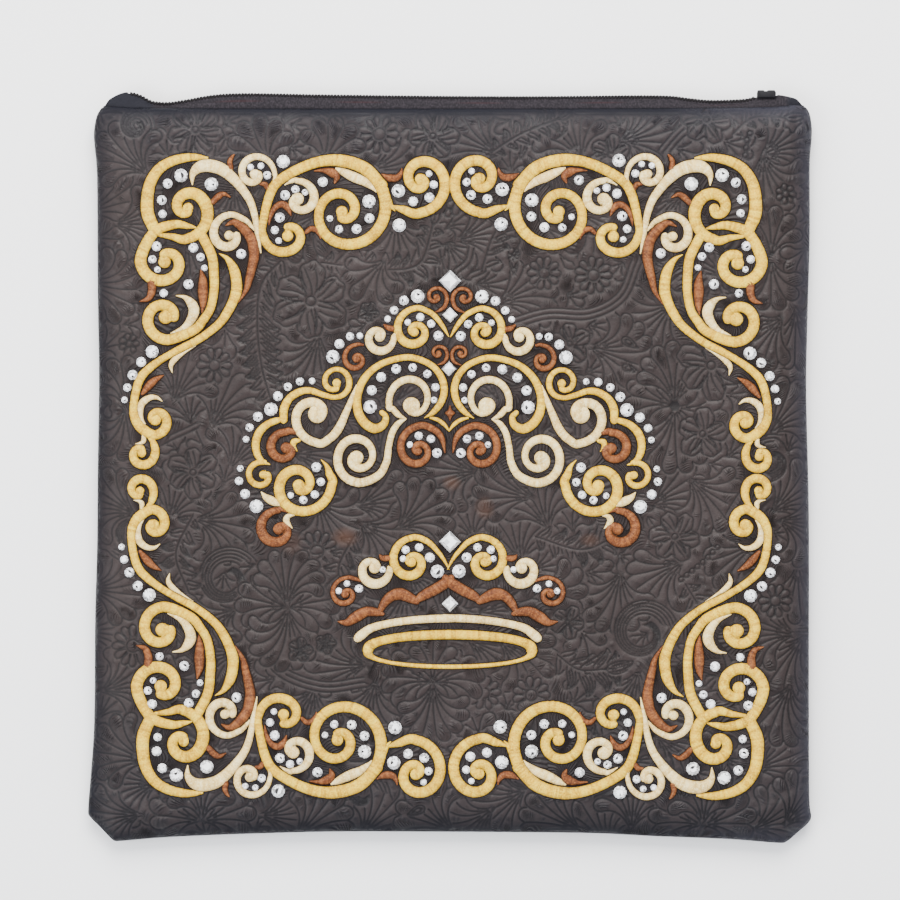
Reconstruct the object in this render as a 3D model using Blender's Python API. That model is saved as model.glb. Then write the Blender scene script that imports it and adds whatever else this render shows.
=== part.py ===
"""A flat square zip bag for a prayer shawl, in tooled leather with satin-stitch scrollwork and crystals.

The bag lies on its back: +Z is its front face and +Y runs to its zip. The origin is on the floor,
under the middle of the bag. Sizes are millimetres on a flat chart of the front, and MM turns them
into metres. The chart is the bag seen square from the front.
"""

import math
from collections import namedtuple

import bmesh
import bpy
import numpy as np
from mathutils import Vector, geometry

MM = 0.001

# Driving sizes of the leather shell
LEATHER = 1.6
SEAM_HEIGHT = 7.5
SEAM_GAP = 0.3
FRONT_RISE = 9.4
CROWN = 1.2
ROLL = 18.0
TOP_ROLL = 14.0
TOP_START = 0.44
EDGE_CELLS = 4
MIDDLE_CELLS = 4
PAST_ROLL = 0.8
HALF_WIDTH = 167.0
CHART_MIDDLE_Y = 2.8
SIDE_STEPS = 6

# Driving sizes of the zip
TAPE = 0.9
TAPE_UNDERLAP = 4.0
TAPE_GAP = 0.55
TAPE_ENDS = (-160.4, 163.6)
COIL_RADIUS = 1.0
COIL_SIDES = 6
COIL_ENDS = (-150.0, 143.2)
CREST_STEP = 2.0
ZIP_GAP = 0.3
SLIDER_MIDDLE = 148.2
SLIDER_LENGTH = 9.0
SLIDER_WIDTH = 5.8
SLIDER_HEIGHT = 3.7
PULL_LENGTH = 26.0
PULL_WIDTH = 4.9
PULL_THICKNESS = 1.3
PULL_LIFT = 0.4
LINK_WIDTH = 2.2
LINK_TOP = 5.2

# Driving sizes of the trim on the front
TRIM_GAP = 0.3
STITCH_RELIEF = 1.3
STITCH_EDGE = 0.7
STRAIGHT_DEGREES = 30.0
ARM_STEPS = 2
LONGEST_STEP = 9.0
EYE_SIDES = 6
STONE_FACETS = 8
STONE_HEIGHT = 0.36
TABLE_SHARE = 0.55
SQUARE_TABLE_SHARE = 0.6

Spot = namedtuple("Spot", "x y")
Scroll = namedtuple("Scroll", "eye eye_radius first turn arms tail")
Motif = namedtuple("Motif", "scrolls leaves")
Stone = namedtuple("Stone", "x y size")
Place = namedtuple("Place", "name xx xy yx yy shift_x shift_y")

# The leather outline, as four sides that meet halfway along the cut-off corners
LEFT_SIDE = [
    Spot(-163.4, -166.5), Spot(-168.6, -161.2), Spot(-169.5, -158.0), Spot(-168.3, -142.0),
    Spot(-166.6, -115.0), Spot(-166.2, -68.0), Spot(-165.3, -35.0), Spot(-165.0, 0.0),
    Spot(-164.4, 45.0), Spot(-165.0, 85.0), Spot(-165.3, 137.0), Spot(-166.4, 152.0),
    Spot(-166.8, 159.0), Spot(-165.6, 166.5), Spot(-163.4, 170.6),
]
RIGHT_SIDE = [
    Spot(162.4, -168.9), Spot(167.9, -164.0), Spot(169.2, -160.5), Spot(168.3, -151.0),
    Spot(168.1, -100.0), Spot(168.1, -20.0), Spot(166.9, 35.0), Spot(167.3, 66.0),
    Spot(168.5, 110.0), Spot(168.5, 144.0), Spot(169.3, 155.0), Spot(169.5, 161.0),
    Spot(168.6, 167.5), Spot(166.9, 170.9),
]
BOTTOM_SIDE = [
    Spot(-163.4, -166.5), Spot(-158.0, -172.0), Spot(-154.5, -172.6), Spot(-135.0, -171.0),
    Spot(-105.0, -169.6), Spot(-60.0, -168.3), Spot(-20.0, -168.2), Spot(60.0, -168.8),
    Spot(95.0, -170.3), Spot(130.0, -171.7), Spot(153.5, -173.5), Spot(158.0, -172.6),
    Spot(162.4, -168.9),
]
TOP_SIDE = [
    Spot(-163.4, 170.6), Spot(-159.0, 171.4), Spot(-148.0, 170.7), Spot(-110.0, 170.3),
    Spot(0.0, 170.2), Spot(110.0, 170.4), Spot(150.0, 171.0), Spot(161.0, 172.0),
    Spot(166.9, 170.9),
]

# The ridge of the closed zip, which stands up at both ends where the tape is sewn in
RIDGE = [
    Spot(-161.0, 172.4), Spot(-159.6, 174.6), Spot(-154.6, 177.3), Spot(-149.9, 178.2),
    Spot(-144.9, 176.9), Spot(-139.0, 174.0), Spot(-131.0, 173.6), Spot(-124.4, 174.6),
    Spot(-102.7, 177.6), Spot(-60.0, 177.1), Spot(-10.0, 176.5), Spot(40.0, 176.3),
    Spot(96.0, 176.7), Spot(112.0, 175.4), Spot(122.0, 174.5), Spot(137.8, 175.0),
    Spot(144.0, 176.6), Spot(150.0, 177.4), Spot(158.8, 175.9), Spot(162.6, 174.6),
    Spot(164.4, 172.4),
]

# One quarter of the embroidered frame, the upper left one. A scroll starts at its round eye and
# winds outwards: arms are its (radius, width) at each quarter turn, and tail its (x, y, width) after
# them. A leaf is a row of (x, y, width).
FRAME = Motif(
    scrolls=[
        Scroll(Spot(-122.3, 123.6), 2.4, "S", "cw",
               [(2.2, 3.8), (5.0, 4.8), (6.8, 5.4), (8.7, 5.8), (14.3, 4.7)],
               [(-130.0, 110.2, 3.0), (-136.5, 111.0, 1.5)]),
        Scroll(Spot(-133.3, 98.3), 2.9, "N", "cw",
               [(3.6, 4.6), (6.7, 5.0), (8.6, 5.3), (11.2, 5.5)],
               [(-138.5, 111.8, 5.0), (-128.7, 115.8, 4.2), (-122.0, 115.0, 2.5), (-118.5, 114.3, 0.6)]),
        Scroll(Spot(-132.8, 72.5), 3.2, "E", "ccw",
               [(3.9, 4.4), (5.6, 4.8), (8.2, 5.1), (10.5, 5.0)],
               [(-120.0, 66.3, 4.6), (-115.0, 71.5, 4.2), (-111.7, 77.0, 4.0), (-110.2, 85.0, 4.2),
                (-110.2, 92.0, 4.4), (-111.2, 101.0, 4.6), (-115.5, 110.0, 4.6)]),
        Scroll(Spot(-137.5, 24.5), 2.6, "W", "cw",
               [(1.5, 3.4), (3.5, 3.8), (5.1, 4.5), (7.0, 4.5)],
               [(-143.8, 20.5, 4.8), (-147.0, 25.0, 4.2), (-147.8, 30.0, 3.6), (-146.5, 38.4, 3.8),
                (-144.2, 44.5, 4.0), (-140.3, 48.7, 3.4), (-135.0, 52.4, 3.0), (-130.0, 55.4, 3.0),
                (-125.0, 58.3, 3.4), (-118.5, 61.5, 3.6), (-112.5, 65.5, 3.8), (-107.3, 70.0, 4.0),
                (-103.8, 75.0, 4.4), (-101.3, 80.0, 4.6), (-99.7, 85.0, 5.2), (-99.8, 90.0, 5.0),
                (-101.0, 95.0, 4.6), (-104.0, 99.8, 2.4), (-107.9, 102.3, 0.3)]),
        Scroll(Spot(-143.9, 9.0), 2.0, "N", "ccw",
               [(2.2, 3.0), (3.9, 3.4), (5.0, 3.8), (6.2, 4.0)],
               [(-138.6, 14.0, 3.0), (-140.8, 16.2, 1.0)]),
        Scroll(Spot(-75.8, 110.4), 2.6, "N", "cw",
               [(2.6, 3.6), (5.2, 4.2), (7.2, 4.6), (11.3, 4.0)],
               [(-87.1, 118.0, 3.8), (-84.4, 130.0, 3.8), (-80.0, 136.8, 4.0), (-70.0, 142.3, 4.4),
                (-60.0, 145.3, 5.1), (-50.0, 145.5, 5.8), (-39.5, 142.0, 5.6), (-31.8, 134.0, 5.4)]),
        Scroll(Spot(-50.5, 121.8), 2.7, "S", "ccw",
               [(3.0, 4.2), (5.9, 4.6), (8.4, 4.6), (10.6, 4.4), (15.0, 5.0), (20.3, 5.4), (23.7, 5.8)],
               []),
        Scroll(Spot(-13.8, 137.0), 2.6, "E", "cw",
               [(1.5, 3.6), (4.4, 4.2), (5.6, 4.6), (8.0, 4.8), (9.7, 4.4), (15.8, 4.7)],
               [(-22.0, 122.8, 3.6), (-27.3, 124.6, 0.6)]),
        Scroll(Spot(-103.2, 110.7), 2.2, "E", "cw",
               [(2.2, 3.4), (4.8, 4.2), (7.0, 4.1), (9.6, 3.0)],
               [(-96.0, 118.1, 2.6), (-92.7, 114.9, 1.6), (-91.5, 113.0, 0.4)]),
        Scroll(Spot(-91.3, 139.4), 2.2, "E", "cw",
               [(2.0, 3.0), (3.8, 3.4), (5.7, 3.4), (8.0, 3.2), (9.5, 2.2)],
               [(-83.3, 133.5, 0.5)]),
        Scroll(Spot(-71.1, 127.7), 2.9, "W", "ccw",
               [(1.8, 3.2), (4.9, 3.6), (7.6, 4.2), (8.5, 2.8)],
               [(-74.0, 136.0, 1.8), (-77.3, 134.2, 0.4)]),
    ],
    leaves=[
        [(-113.0, 146.8, 1.0), (-118.0, 147.2, 3.0), (-123.0, 147.0, 4.0), (-130.0, 145.3, 4.6),
         (-136.0, 141.5, 5.0), (-140.0, 135.0, 5.4), (-141.4, 127.0, 5.8), (-141.0, 120.5, 6.0),
         (-138.3, 114.0, 5.5)],
        [(-120.3, 134.2, 0.4), (-120.2, 139.0, 3.0), (-117.5, 142.3, 5.2), (-113.0, 143.3, 6.0),
         (-107.0, 141.8, 5.8), (-102.0, 138.0, 5.0), (-97.5, 133.0, 4.2), (-93.5, 127.0, 3.6),
         (-91.2, 120.0, 3.1), (-89.6, 110.0, 2.2), (-88.3, 102.4, 0.5)],
        [(-128.0, 82.6, 0.4), (-124.0, 81.8, 2.0), (-120.8, 79.0, 4.4), (-119.5, 75.5, 5.0),
         (-121.0, 71.3, 4.2), (-124.5, 67.5, 2.6), (-130.5, 64.9, 0.4)],
        [(-134.3, 33.2, 0.3), (-137.0, 35.0, 1.8), (-140.5, 34.8, 2.8), (-143.8, 32.3, 3.4),
         (-144.6, 28.5, 2.6), (-143.8, 24.5, 1.6), (-141.3, 21.0, 0.4)],
        [(-53.5, 142.0, 1.0), (-50.0, 140.4, 3.4), (-45.0, 138.0, 4.6), (-40.0, 135.8, 4.0),
         (-36.0, 132.8, 2.0), (-34.3, 130.8, 0.4)],
        [(-104.9, 115.3, 0.4), (-100.7, 116.8, 3.0), (-96.2, 113.7, 4.4), (-92.8, 109.0, 4.8),
         (-91.8, 105.0, 4.9), (-91.6, 100.0, 4.6), (-93.9, 90.0, 3.4), (-95.3, 85.0, 2.2),
         (-98.9, 79.2, 0.3)],
        [(-116.4, 94.8, 0.4), (-115.4, 90.0, 3.6), (-115.4, 85.0, 4.6), (-115.3, 79.5, 3.4),
         (-115.8, 74.5, 0.4)],
        [(-139.2, 89.0, 4.2), (-139.3, 84.5, 3.6), (-141.0, 81.2, 2.6), (-145.0, 79.8, 0.3)],
        [(-63.5, 140.8, 0.4), (-59.0, 141.0, 2.0), (-55.0, 140.0, 4.2), (-53.0, 137.8, 3.2),
         (-54.0, 134.9, 0.4)],
    ],
)

# The left half of the tiara, motif by motif
TIARA_BODY = Motif(
    scrolls=[
        Scroll(Spot(-52.9, 41.8), 2.0, "S", "cw",
               [(2.6, 2.6), (5.4, 2.6), (6.2, 2.1), (5.7, 2.6), (6.6, 2.3)],
               [(-59.0, 36.2, 2.6), (-65.0, 38.2, 3.0), (-70.0, 37.7, 3.4), (-74.8, 34.7, 3.6),
                (-77.4, 30.0, 4.0), (-77.7, 24.6, 3.6)]),
        Scroll(Spot(-87.2, -1.0), 1.9, "E", "cw",
               [(2.0, 2.9), (4.7, 2.9), (6.7, 2.8), (5.8, 2.6)],
               [(-85.5, 4.3, 0.6)]),
        Scroll(Spot(-62.0, 27.3), 4.3, "E", "ccw",
               [(2.2, 4.4), (4.8, 4.6), (9.6, 4.3), (13.5, 3.9)],
               [(-56.5, 15.6, 3.9), (-52.0, 20.5, 4.0), (-48.3, 28.5, 3.2), (-45.5, 35.5, 2.2),
                (-43.6, 41.0, 0.4)]),
        Scroll(Spot(-5.5, 55.8), 1.1, "E", "cw",
               [(0.8, 1.4), (1.5, 1.4), (2.3, 1.4), (2.9, 1.4), (3.3, 1.4)],
               [(-3.0, 53.2, 1.3), (-4.6, 51.7, 1.0), (-7.4, 50.3, 0.5)]),
    ],
    leaves=[
        [(-76.4, 25.4, 1.6), (-81.0, 24.2, 3.0), (-85.5, 22.3, 3.4), (-89.2, 18.4, 3.8),
         (-90.7, 13.2, 3.7), (-89.8, 8.2, 3.2), (-87.2, 5.0, 2.2), (-84.0, 3.7, 0.4)],
        [(-12.0, 25.4, 0.3), (-7.3, 28.4, 2.3), (-4.0, 33.5, 2.8), (-3.3, 39.5, 3.0), (-4.8, 45.5, 3.2),
         (-9.5, 50.6, 3.0), (-18.3, 53.7, 3.0), (-27.5, 52.4, 3.0), (-34.8, 49.0, 3.2),
         (-40.3, 43.3, 3.6), (-43.2, 36.0, 3.8), (-43.0, 28.8, 4.2), (-40.0, 23.3, 4.4),
         (-35.2, 20.5, 4.4), (-31.0, 22.4, 3.6), (-30.0, 26.0, 2.8), (-31.8, 28.0, 2.4)],
        [(-9.5, 25.6, 1.0), (-6.3, 24.6, 1.6), (-3.6, 22.8, 1.2), (-2.2, 21.0, 0.3)],
    ],
)
TIARA_VINE = Motif(
    scrolls=[
        Scroll(Spot(-43.6, 7.0), 3.2, "W", "ccw",
               [(2.0, 3.6), (4.7, 3.8), (8.4, 3.4), (8.8, 4.0), (8.8, 4.0), (11.6, 4.1)],
               [(-34.0, -1.8, 3.8), (-29.8, 4.5, 3.4), (-28.6, 12.0, 3.0), (-27.0, 18.5, 3.0),
                (-24.0, 23.0, 2.6), (-20.3, 25.0, 0.4)]),
        Scroll(Spot(-18.0, 31.2), 4.0, "S", "ccw",
               [(3.0, 3.0), (6.7, 2.8), (12.3, 3.4), (10.4, 3.0)],
               [(-26.5, 29.5, 2.8), (-24.0, 26.8, 2.6), (-20.4, 25.0, 0.4)]),
    ],
    leaves=[],
)
TIARA_HEART = Motif(
    scrolls=[
        Scroll(Spot(-76.5, 11.5), 2.6, "E", "cw",
               [(2.4, 3.4), (4.8, 3.6), (6.9, 3.8), (6.6, 3.0)],
               [(-74.9, 18.0, 2.4), (-73.6, 17.7, 1.6)]),
    ],
    leaves=[
        [(-71.1, 15.2, 1.4), (-72.9, 14.3, 2.8), (-73.0, 12.2, 2.2), (-71.3, 9.9, 0.3)],
    ],
)
TIARA_CREST = Motif(
    scrolls=[
        Scroll(Spot(-16.6, 65.4), 2.0, "W", "cw",
               [(1.4, 2.6), (3.4, 2.8), (4.9, 3.4), (5.4, 4.2), (7.6, 3.8), (11.2, 2.8)],
               [(-9.5, 74.8, 2.6), (-5.8, 71.5, 2.4), (-2.8, 67.3, 1.8), (-0.5, 63.3, 0.3)]),
        Scroll(Spot(-32.8, 63.3), 2.3, "E", "ccw",
               [(0.8, 2.8), (2.9, 3.0), (5.0, 3.6), (6.6, 3.9), (6.6, 2.6)],
               [(-25.6, 65.4, 0.4)]),
        Scroll(Spot(-6.5, 82.0), 1.3, "E", "cw",
               [(1.0, 1.6), (2.0, 1.8), (3.3, 1.8), (4.0, 1.7), (5.0, 2.0)],
               [(-2.3, 77.8, 1.8), (-4.6, 75.8, 1.4), (-7.3, 74.7, 0.3)]),
    ],
    leaves=[
        [(-31.0, 69.2, 0.6), (-29.0, 67.6, 2.4), (-26.4, 67.0, 2.6)],
    ],
)
TIARA_BUD = Motif(
    scrolls=[
        Scroll(Spot(-43.7, 52.8), 1.6, "W", "cw",
               [(1.0, 1.6), (2.0, 1.8), (2.9, 2.0), (4.0, 2.6), (5.4, 2.4), (6.8, 1.8)],
               [(-40.3, 59.5, 1.0)]),
    ],
    leaves=[],
)
TIARA_HOOK = Motif(
    scrolls=[
        Scroll(Spot(-14.8, 9.8), 1.8, "W", "cw",
               [(1.2, 2.8), (3.4, 3.0), (4.4, 3.0), (5.6, 3.6), (7.0, 3.0), (10.9, 3.0)],
               [(-7.5, 20.0, 3.2), (-3.8, 15.8, 2.6), (-2.3, 9.0, 0.3)]),
    ],
    leaves=[],
)
TIARA_END = Motif(
    scrolls=[
        Scroll(Spot(-70.6, -6.0), 2.8, "S", "ccw",
               [(2.2, 4.0), (5.0, 4.2), (7.1, 4.6), (9.0, 5.0), (12.0, 4.6), (15.4, 4.3)],
               [(-56.3, -0.5, 3.6), (-57.6, 3.0, 2.0), (-60.2, 6.0, 0.3)]),
        Scroll(Spot(-80.0, -26.4), 2.6, "N", "cw",
               [(0.8, 3.0), (4.0, 3.2), (5.9, 4.6), (8.2, 4.7), (8.8, 3.0)],
               [(-79.0, -17.3, 2.0), (-75.5, -18.6, 0.4)]),
    ],
    leaves=[
        [(-88.2, -9.0, 0.3), (-86.0, -11.5, 3.0), (-82.8, -13.4, 4.0), (-79.0, -15.2, 1.6)],
        [(-72.3, -19.8, 0.6), (-75.5, -20.4, 2.4), (-76.3, -22.8, 3.0), (-73.6, -26.1, 0.3)],
    ],
)

# The left half of the crown below it: crest, waved rim and far rim
CROWN_CREST = Motif(
    scrolls=[
        Scroll(Spot(-18.0, -42.0), 2.2, "W", "cw",
               [(1.5, 2.8), (3.2, 2.8), (4.6, 4.0), (6.1, 4.4), (8.2, 4.0), (11.5, 3.0)],
               [(-11.0, -32.0, 2.8), (-6.5, -36.0, 2.2), (-3.0, -40.5, 1.6), (-0.4, -45.4, 0.3)]),
        Scroll(Spot(-35.2, -44.6), 2.6, "E", "ccw",
               [(1.0, 3.0), (2.8, 3.0), (5.6, 3.8), (7.4, 4.5), (7.2, 3.0)],
               [(-27.6, -44.0, 0.4)]),
        Scroll(Spot(-48.8, -57.0), 1.6, "W", "cw",
               [(1.0, 2.0), (1.8, 2.0), (3.3, 2.4), (4.0, 2.6), (5.8, 2.2), (7.7, 1.8)],
               [(-44.5, -49.6, 1.8), (-41.5, -50.8, 0.8)]),
    ],
    leaves=[
        [(-33.0, -38.3, 0.4), (-31.3, -40.0, 2.6), (-28.0, -40.0, 2.6)],
    ],
)
WAVED_RIM = Motif(
    scrolls=[],
    leaves=[
        [(-52.5, -69.6, 0.3), (-48.0, -70.0, 3.4), (-44.0, -67.5, 5.0), (-39.0, -65.0, 4.6),
         (-34.0, -65.3, 3.6), (-31.6, -66.0, 2.0)],
        [(-33.0, -65.8, 2.0), (-31.0, -61.5, 3.8), (-27.5, -57.8, 4.8), (-23.0, -56.8, 5.6),
         (-18.5, -58.6, 4.6), (-15.6, -60.2, 3.0)],
        [(-16.4, -60.6, 1.6), (-13.0, -57.8, 4.4), (-7.0, -54.6, 5.0), (-2.5, -51.8, 5.0),
         (0.6, -49.2, 3.0)],
    ],
)
FAR_RIM = Motif(
    scrolls=[],
    leaves=[
        [(0.6, -68.1, 3.3), (-10.0, -68.4, 3.2), (-20.0, -69.2, 3.0), (-30.0, -70.8, 3.0),
         (-37.0, -72.8, 3.2), (-41.5, -76.0, 4.0), (-43.0, -77.3, 3.6)],
    ],
)
RING_MIDDLE = Spot(0.0, -82.6)
RING_OUTER = Spot(41.5, 9.4)
RING_INNER = Spot(35.0, 5.6)
RING_STEPS = 28

# The main crystals: the largest round ones of one quarter of the frame, and the square ones
FRAME_STONES = [
    Stone(-125.6, 138.7, 6.3), Stone(-111.4, 134.6, 6.3), Stone(-139.1, 56.4, 6.1),
    Stone(-77.9, 145.2, 6.2), Stone(-37.8, 126.6, 6.3), Stone(-23.7, 115.4, 6.3),
    Stone(-24.1, 131.5, 6.3),
]
SQUARE_STONES = [
    Stone(0.0, 89.4, 7.4), Stone(0.0, 73.5, 5.2), Stone(-0.5, 48.4, 5.0),
    Stone(0.0, -32.4, 7.2), Stone(0.0, -61.3, 5.4),
]

# Each quarter was hooped by hand, so each has its own small stretch, lean and shift
QUARTERS = [
    Place("top_left", 1.0, 0.0, 0.0, 1.0, 0.0, 0.0),
    Place("top_right", -1.011, 0.008, 0.006, 1.010, -1.2, -0.9),
    Place("bottom_left", 1.0, -0.011, -0.015, -1.020, -0.7, -1.5),
    Place("bottom_right", -1.022, 0.018, -0.002, -1.032, -3.1, 0.6),
]
STONE_SHIFTS = [Spot(0.0, 0.0), Spot(0.2, 0.4), Spot(0.0, -0.3), Spot(0.3, -0.3)]
HALVES = [
    Place("left", 1.0, 0.0, 0.0, 1.0, 0.0, 0.0),
    Place("right", -0.997, 0.012, 0.003, 0.998, -1.1, 0.0),
]

QUARTER_TURN = {"E": 0, "N": 1, "W": 2, "S": 3}


def smoothed(rows, steps):
    """Rows of numbers along a smooth curve through the given rows, with steps[i] steps after row i."""
    rows = np.array(rows, float)
    ends = np.vstack([2 * rows[0] - rows[1], rows, 2 * rows[-1] - rows[-2]])
    found = []
    for i in range(len(rows) - 1):
        before, start, stop, after = ends[i:i + 4]
        for k in range(steps[i]):
            t = k / steps[i]
            found.append(start + 0.5 * t * (
                stop - before
                + t * (2 * before - 5 * start + 4 * stop - after)
                + t * t * (3 * start - before - 3 * stop + after)))
    found.append(rows[-1])
    return np.array(found)


def side_curve(spots):
    """A smooth side of the bag through its table of places."""
    return smoothed(spots, [SIDE_STEPS] * (len(spots) - 1))


LEFT = side_curve(LEFT_SIDE)
RIGHT = side_curve(RIGHT_SIDE)
BOTTOM = side_curve(BOTTOM_SIDE)
TOP = side_curve(TOP_SIDE)
RIDGE_CURVE = side_curve(RIDGE)


def along(curve, share):
    """The point of a curve at a share of its length."""
    lengths = np.concatenate([[0.0], np.cumsum(np.linalg.norm(np.diff(curve, axis=0), axis=1))])
    wanted = share * lengths[-1]
    return np.array([np.interp(wanted, lengths, curve[:, 0]), np.interp(wanted, lengths, curve[:, 1])])


def chart_point(u, v):
    """The chart point at share u from left to right and v from bottom to top of the leather."""
    across = (1 - u) * along(LEFT, v) + u * along(RIGHT, v)
    upward = (1 - v) * along(BOTTOM, u) + v * along(TOP, u)
    low = (1 - u) * BOTTOM[0] + u * BOTTOM[-1]
    high = (1 - u) * TOP[0] + u * TOP[-1]
    return across + upward - (1 - v) * low - v * high


def roll(depth, reach):
    """A quarter ellipse, from 0 at an edge to 1 where the leather lies flat."""
    share = min(max(depth / reach, 0.0), 1.0)
    return math.sqrt(1 - (1 - share) ** 2)


def swell(x, y, inset):
    """How far the leather has come up from its seam at a chart point: 1 is all the way."""
    left = x - np.interp(y, LEFT[:, 1], LEFT[:, 0])
    right = np.interp(y, RIGHT[:, 1], RIGHT[:, 0]) - x
    bottom = y - np.interp(x, BOTTOM[:, 0], BOTTOM[:, 1])
    top = np.interp(x, TOP[:, 0], TOP[:, 1]) - y
    share = TOP_START + (1 - TOP_START) * roll(top - inset, TOP_ROLL - inset)
    for depth in (left, right, bottom):
        share *= roll(depth - inset, ROLL - inset)
    return share


def front_height(x, y, inset=0.0):
    """Height of the front leather's outer face, or of its inner face with an inset of its thickness."""
    share = swell(x, y, inset)
    crown = CROWN * (1 - (x / 170) ** 2) * (1 - (y / 174) ** 2)
    return SEAM_HEIGHT + SEAM_GAP / 2 + share * (FRONT_RISE + crown - inset)


def back_height(x, y, inset=0.0):
    """Height of the back leather's outer face, or of its inner face with an inset of its thickness."""
    start = SEAM_HEIGHT - SEAM_GAP / 2
    return start - swell(x, y, inset) * (start - inset)


def metres(x, y, z):
    """A chart point and its height above the floor, in metres from the origin."""
    return Vector((x, y - CHART_MIDDLE_Y, z)) * MM


def make_material(name, colour, roughness, metallic=0.0):
    """A Principled material of one colour."""
    material = bpy.data.materials.new(name)
    material.use_nodes = True
    shader = material.node_tree.nodes["Principled BSDF"]
    shader.inputs["Base Color"].default_value = (*colour, 1.0)
    shader.inputs["Roughness"].default_value = roughness
    shader.inputs["Metallic"].default_value = metallic
    material.diffuse_color = (*colour, 1.0)
    return material


def make_object(name, mesh, material, sharp_degrees=40.0):
    """One named object in the scene, with its faces facing out."""
    bmesh.ops.recalc_face_normals(mesh, faces=mesh.faces)
    data = bpy.data.meshes.new(name)
    mesh.to_mesh(data)
    mesh.free()
    data.materials.append(material)
    data.shade_smooth()
    data.set_sharp_from_angle(angle=math.radians(sharp_degrees))
    made = bpy.data.objects.new(name, data)
    bpy.context.scene.collection.objects.link(made)
    return made


def stations(length, reach):
    """Shares across the leather: close together where it rolls over its edges, then even."""
    quarter = math.pi / 2
    near = [reach * (1 - math.cos(k * quarter / EDGE_CELLS)) / length for k in range(EDGE_CELLS)]
    middle = np.linspace(reach / length, 1 - reach / length, MIDDLE_CELLS + 1)
    return near + list(middle) + [1 - share for share in reversed(near)]


def ring_point(i, j, columns, rows, level):
    """A grid point on one of the rings that follow the outline inwards, so that no corner folds."""
    if j in (level, len(rows) - 1 - level):
        share = (columns[i] - columns[level]) / (1 - 2 * columns[level])
        x, y = along(BOTTOM if j == level else TOP, share)
    else:
        share = (rows[j] - rows[level]) / (1 - 2 * rows[level])
        x, y = along(LEFT if i == level else RIGHT, share)
    return np.array([x * (1 - 2 * columns[level]), y * (1 - 2 * rows[level])])


def panel_point(i, j, columns, rows):
    """The chart point of a grid point of the leather: on a ring near the edges, else evenly spread."""
    level = min(i, j, len(columns) - 1 - i, len(rows) - 1 - j)
    if level <= EDGE_CELLS:
        return ring_point(i, j, columns, rows, level)
    return chart_point(columns[i], rows[j])


def cell_faces(skin):
    """The faces of a grid of points, with each corner cell cut from its outer to its inner corner."""
    last = len(skin) - 2
    found = []
    for j in range(last + 1):
        for i in range(last + 1):
            cell = [skin[j][i], skin[j][i + 1], skin[j + 1][i + 1], skin[j + 1][i]]
            left, bottom = min(i, last - i), min(j, last - j)
            if left != bottom or left >= EDGE_CELLS:
                found.append(cell)
                continue
            if (i == left) != (j == bottom):
                cell = cell[1:] + cell[:1]
            found.append(cell[:3])
            found.append([cell[0], cell[2], cell[3]])
    return found


def leather_panel(name, height, material):
    """One leather sheet: an outer and an inner skin, joined all round at the seam."""
    columns = stations(334.0, ROLL + PAST_ROLL)
    rows = stations(340.0, ROLL + PAST_ROLL)
    mesh = bmesh.new()
    skins = []
    for inset in (0.0, LEATHER):
        skin = []
        for j in range(len(rows)):
            line = []
            for i in range(len(columns)):
                x, y = panel_point(i, j, columns, rows) * (1 - inset / HALF_WIDTH)
                line.append(mesh.verts.new(metres(x, y, height(x, y, inset))))
            skin.append(line)
        skins.append(skin)
        for face in cell_faces(skin):
            mesh.faces.new(face)
    rims = [around(skin) for skin in skins]
    for i, outer in enumerate(rims[0]):
        mesh.faces.new((outer, rims[0][i - 1], rims[1][i - 1], rims[1][i]))
    return make_object(name, mesh, material)


def around(skin):
    """The border points of a grid of points, once round."""
    right = [line[-1] for line in skin[1:-1]]
    left = [line[0] for line in skin[1:-1]]
    return skin[0] + right + skin[-1][::-1] + left[::-1]


def loft(name, sections, material):
    """A closed body through sections of the same number of points, with a face over each end."""
    mesh = bmesh.new()
    rings = [[mesh.verts.new(metres(*point)) for point in section] for section in sections]
    for first, second in zip(rings, rings[1:]):
        for i in range(len(first)):
            mesh.faces.new((first[i - 1], first[i], second[i], second[i - 1]))
    mesh.faces.new(rings[0])
    mesh.faces.new(rings[-1][::-1])
    return make_object(name, mesh, material)


def ridge_height(x):
    """The chart height of the zip's ridge at x."""
    return float(np.interp(x, RIDGE_CURVE[:, 0], RIDGE_CURVE[:, 1]))


def covered_ends():
    """Where the coil starts and where the slider past its other end stops."""
    return COIL_ENDS[0] - ZIP_GAP, SLIDER_MIDDLE + SLIDER_LENGTH / 2 + ZIP_GAP


def tape_crest(x):
    """The chart height where the tapes end: under the coil, and at the ridge past the coil's ends."""
    start, stop = covered_ends()
    share = min(max(min(x - start, stop - x) / CREST_STEP + 1.0, 0.0), 1.0)
    return ridge_height(x) - share * (2 * COIL_RADIUS + ZIP_GAP)


def zip_stations(ends):
    """Where the cross-sections of the zip stand: at its ends, and at every bend between them."""
    start, stop = covered_ends()
    bends = [spot.x for spot in RIDGE] + [start - CREST_STEP, start, stop, stop + CREST_STEP]
    return sorted({*ends, *(x for x in bends if ends[0] < x < ends[1])})


def zip_tape(name, side, panel_height, material):
    """One tape: from under its leather up to the ridge. The side is 1 in front and -1 behind."""
    sections = []
    for x in zip_stations(TAPE_ENDS):
        edge = float(np.interp(x, TOP[:, 0], TOP[:, 1]))
        section = []
        for y in (edge - TAPE_UNDERLAP, edge - LEATHER, edge + TAPE_GAP):
            under = panel_height(x, min(y, edge - LEATHER), LEATHER) - side * TAPE_GAP
            section.append((x, y, under))
        section.append((x, tape_crest(x), SEAM_HEIGHT + side * (ZIP_GAP / 2 + TAPE)))
        inner = [(x, y, z - side * TAPE) for x, y, z in reversed(section)]
        sections.append(section + inner)
    return loft(name, sections, material)


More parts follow.
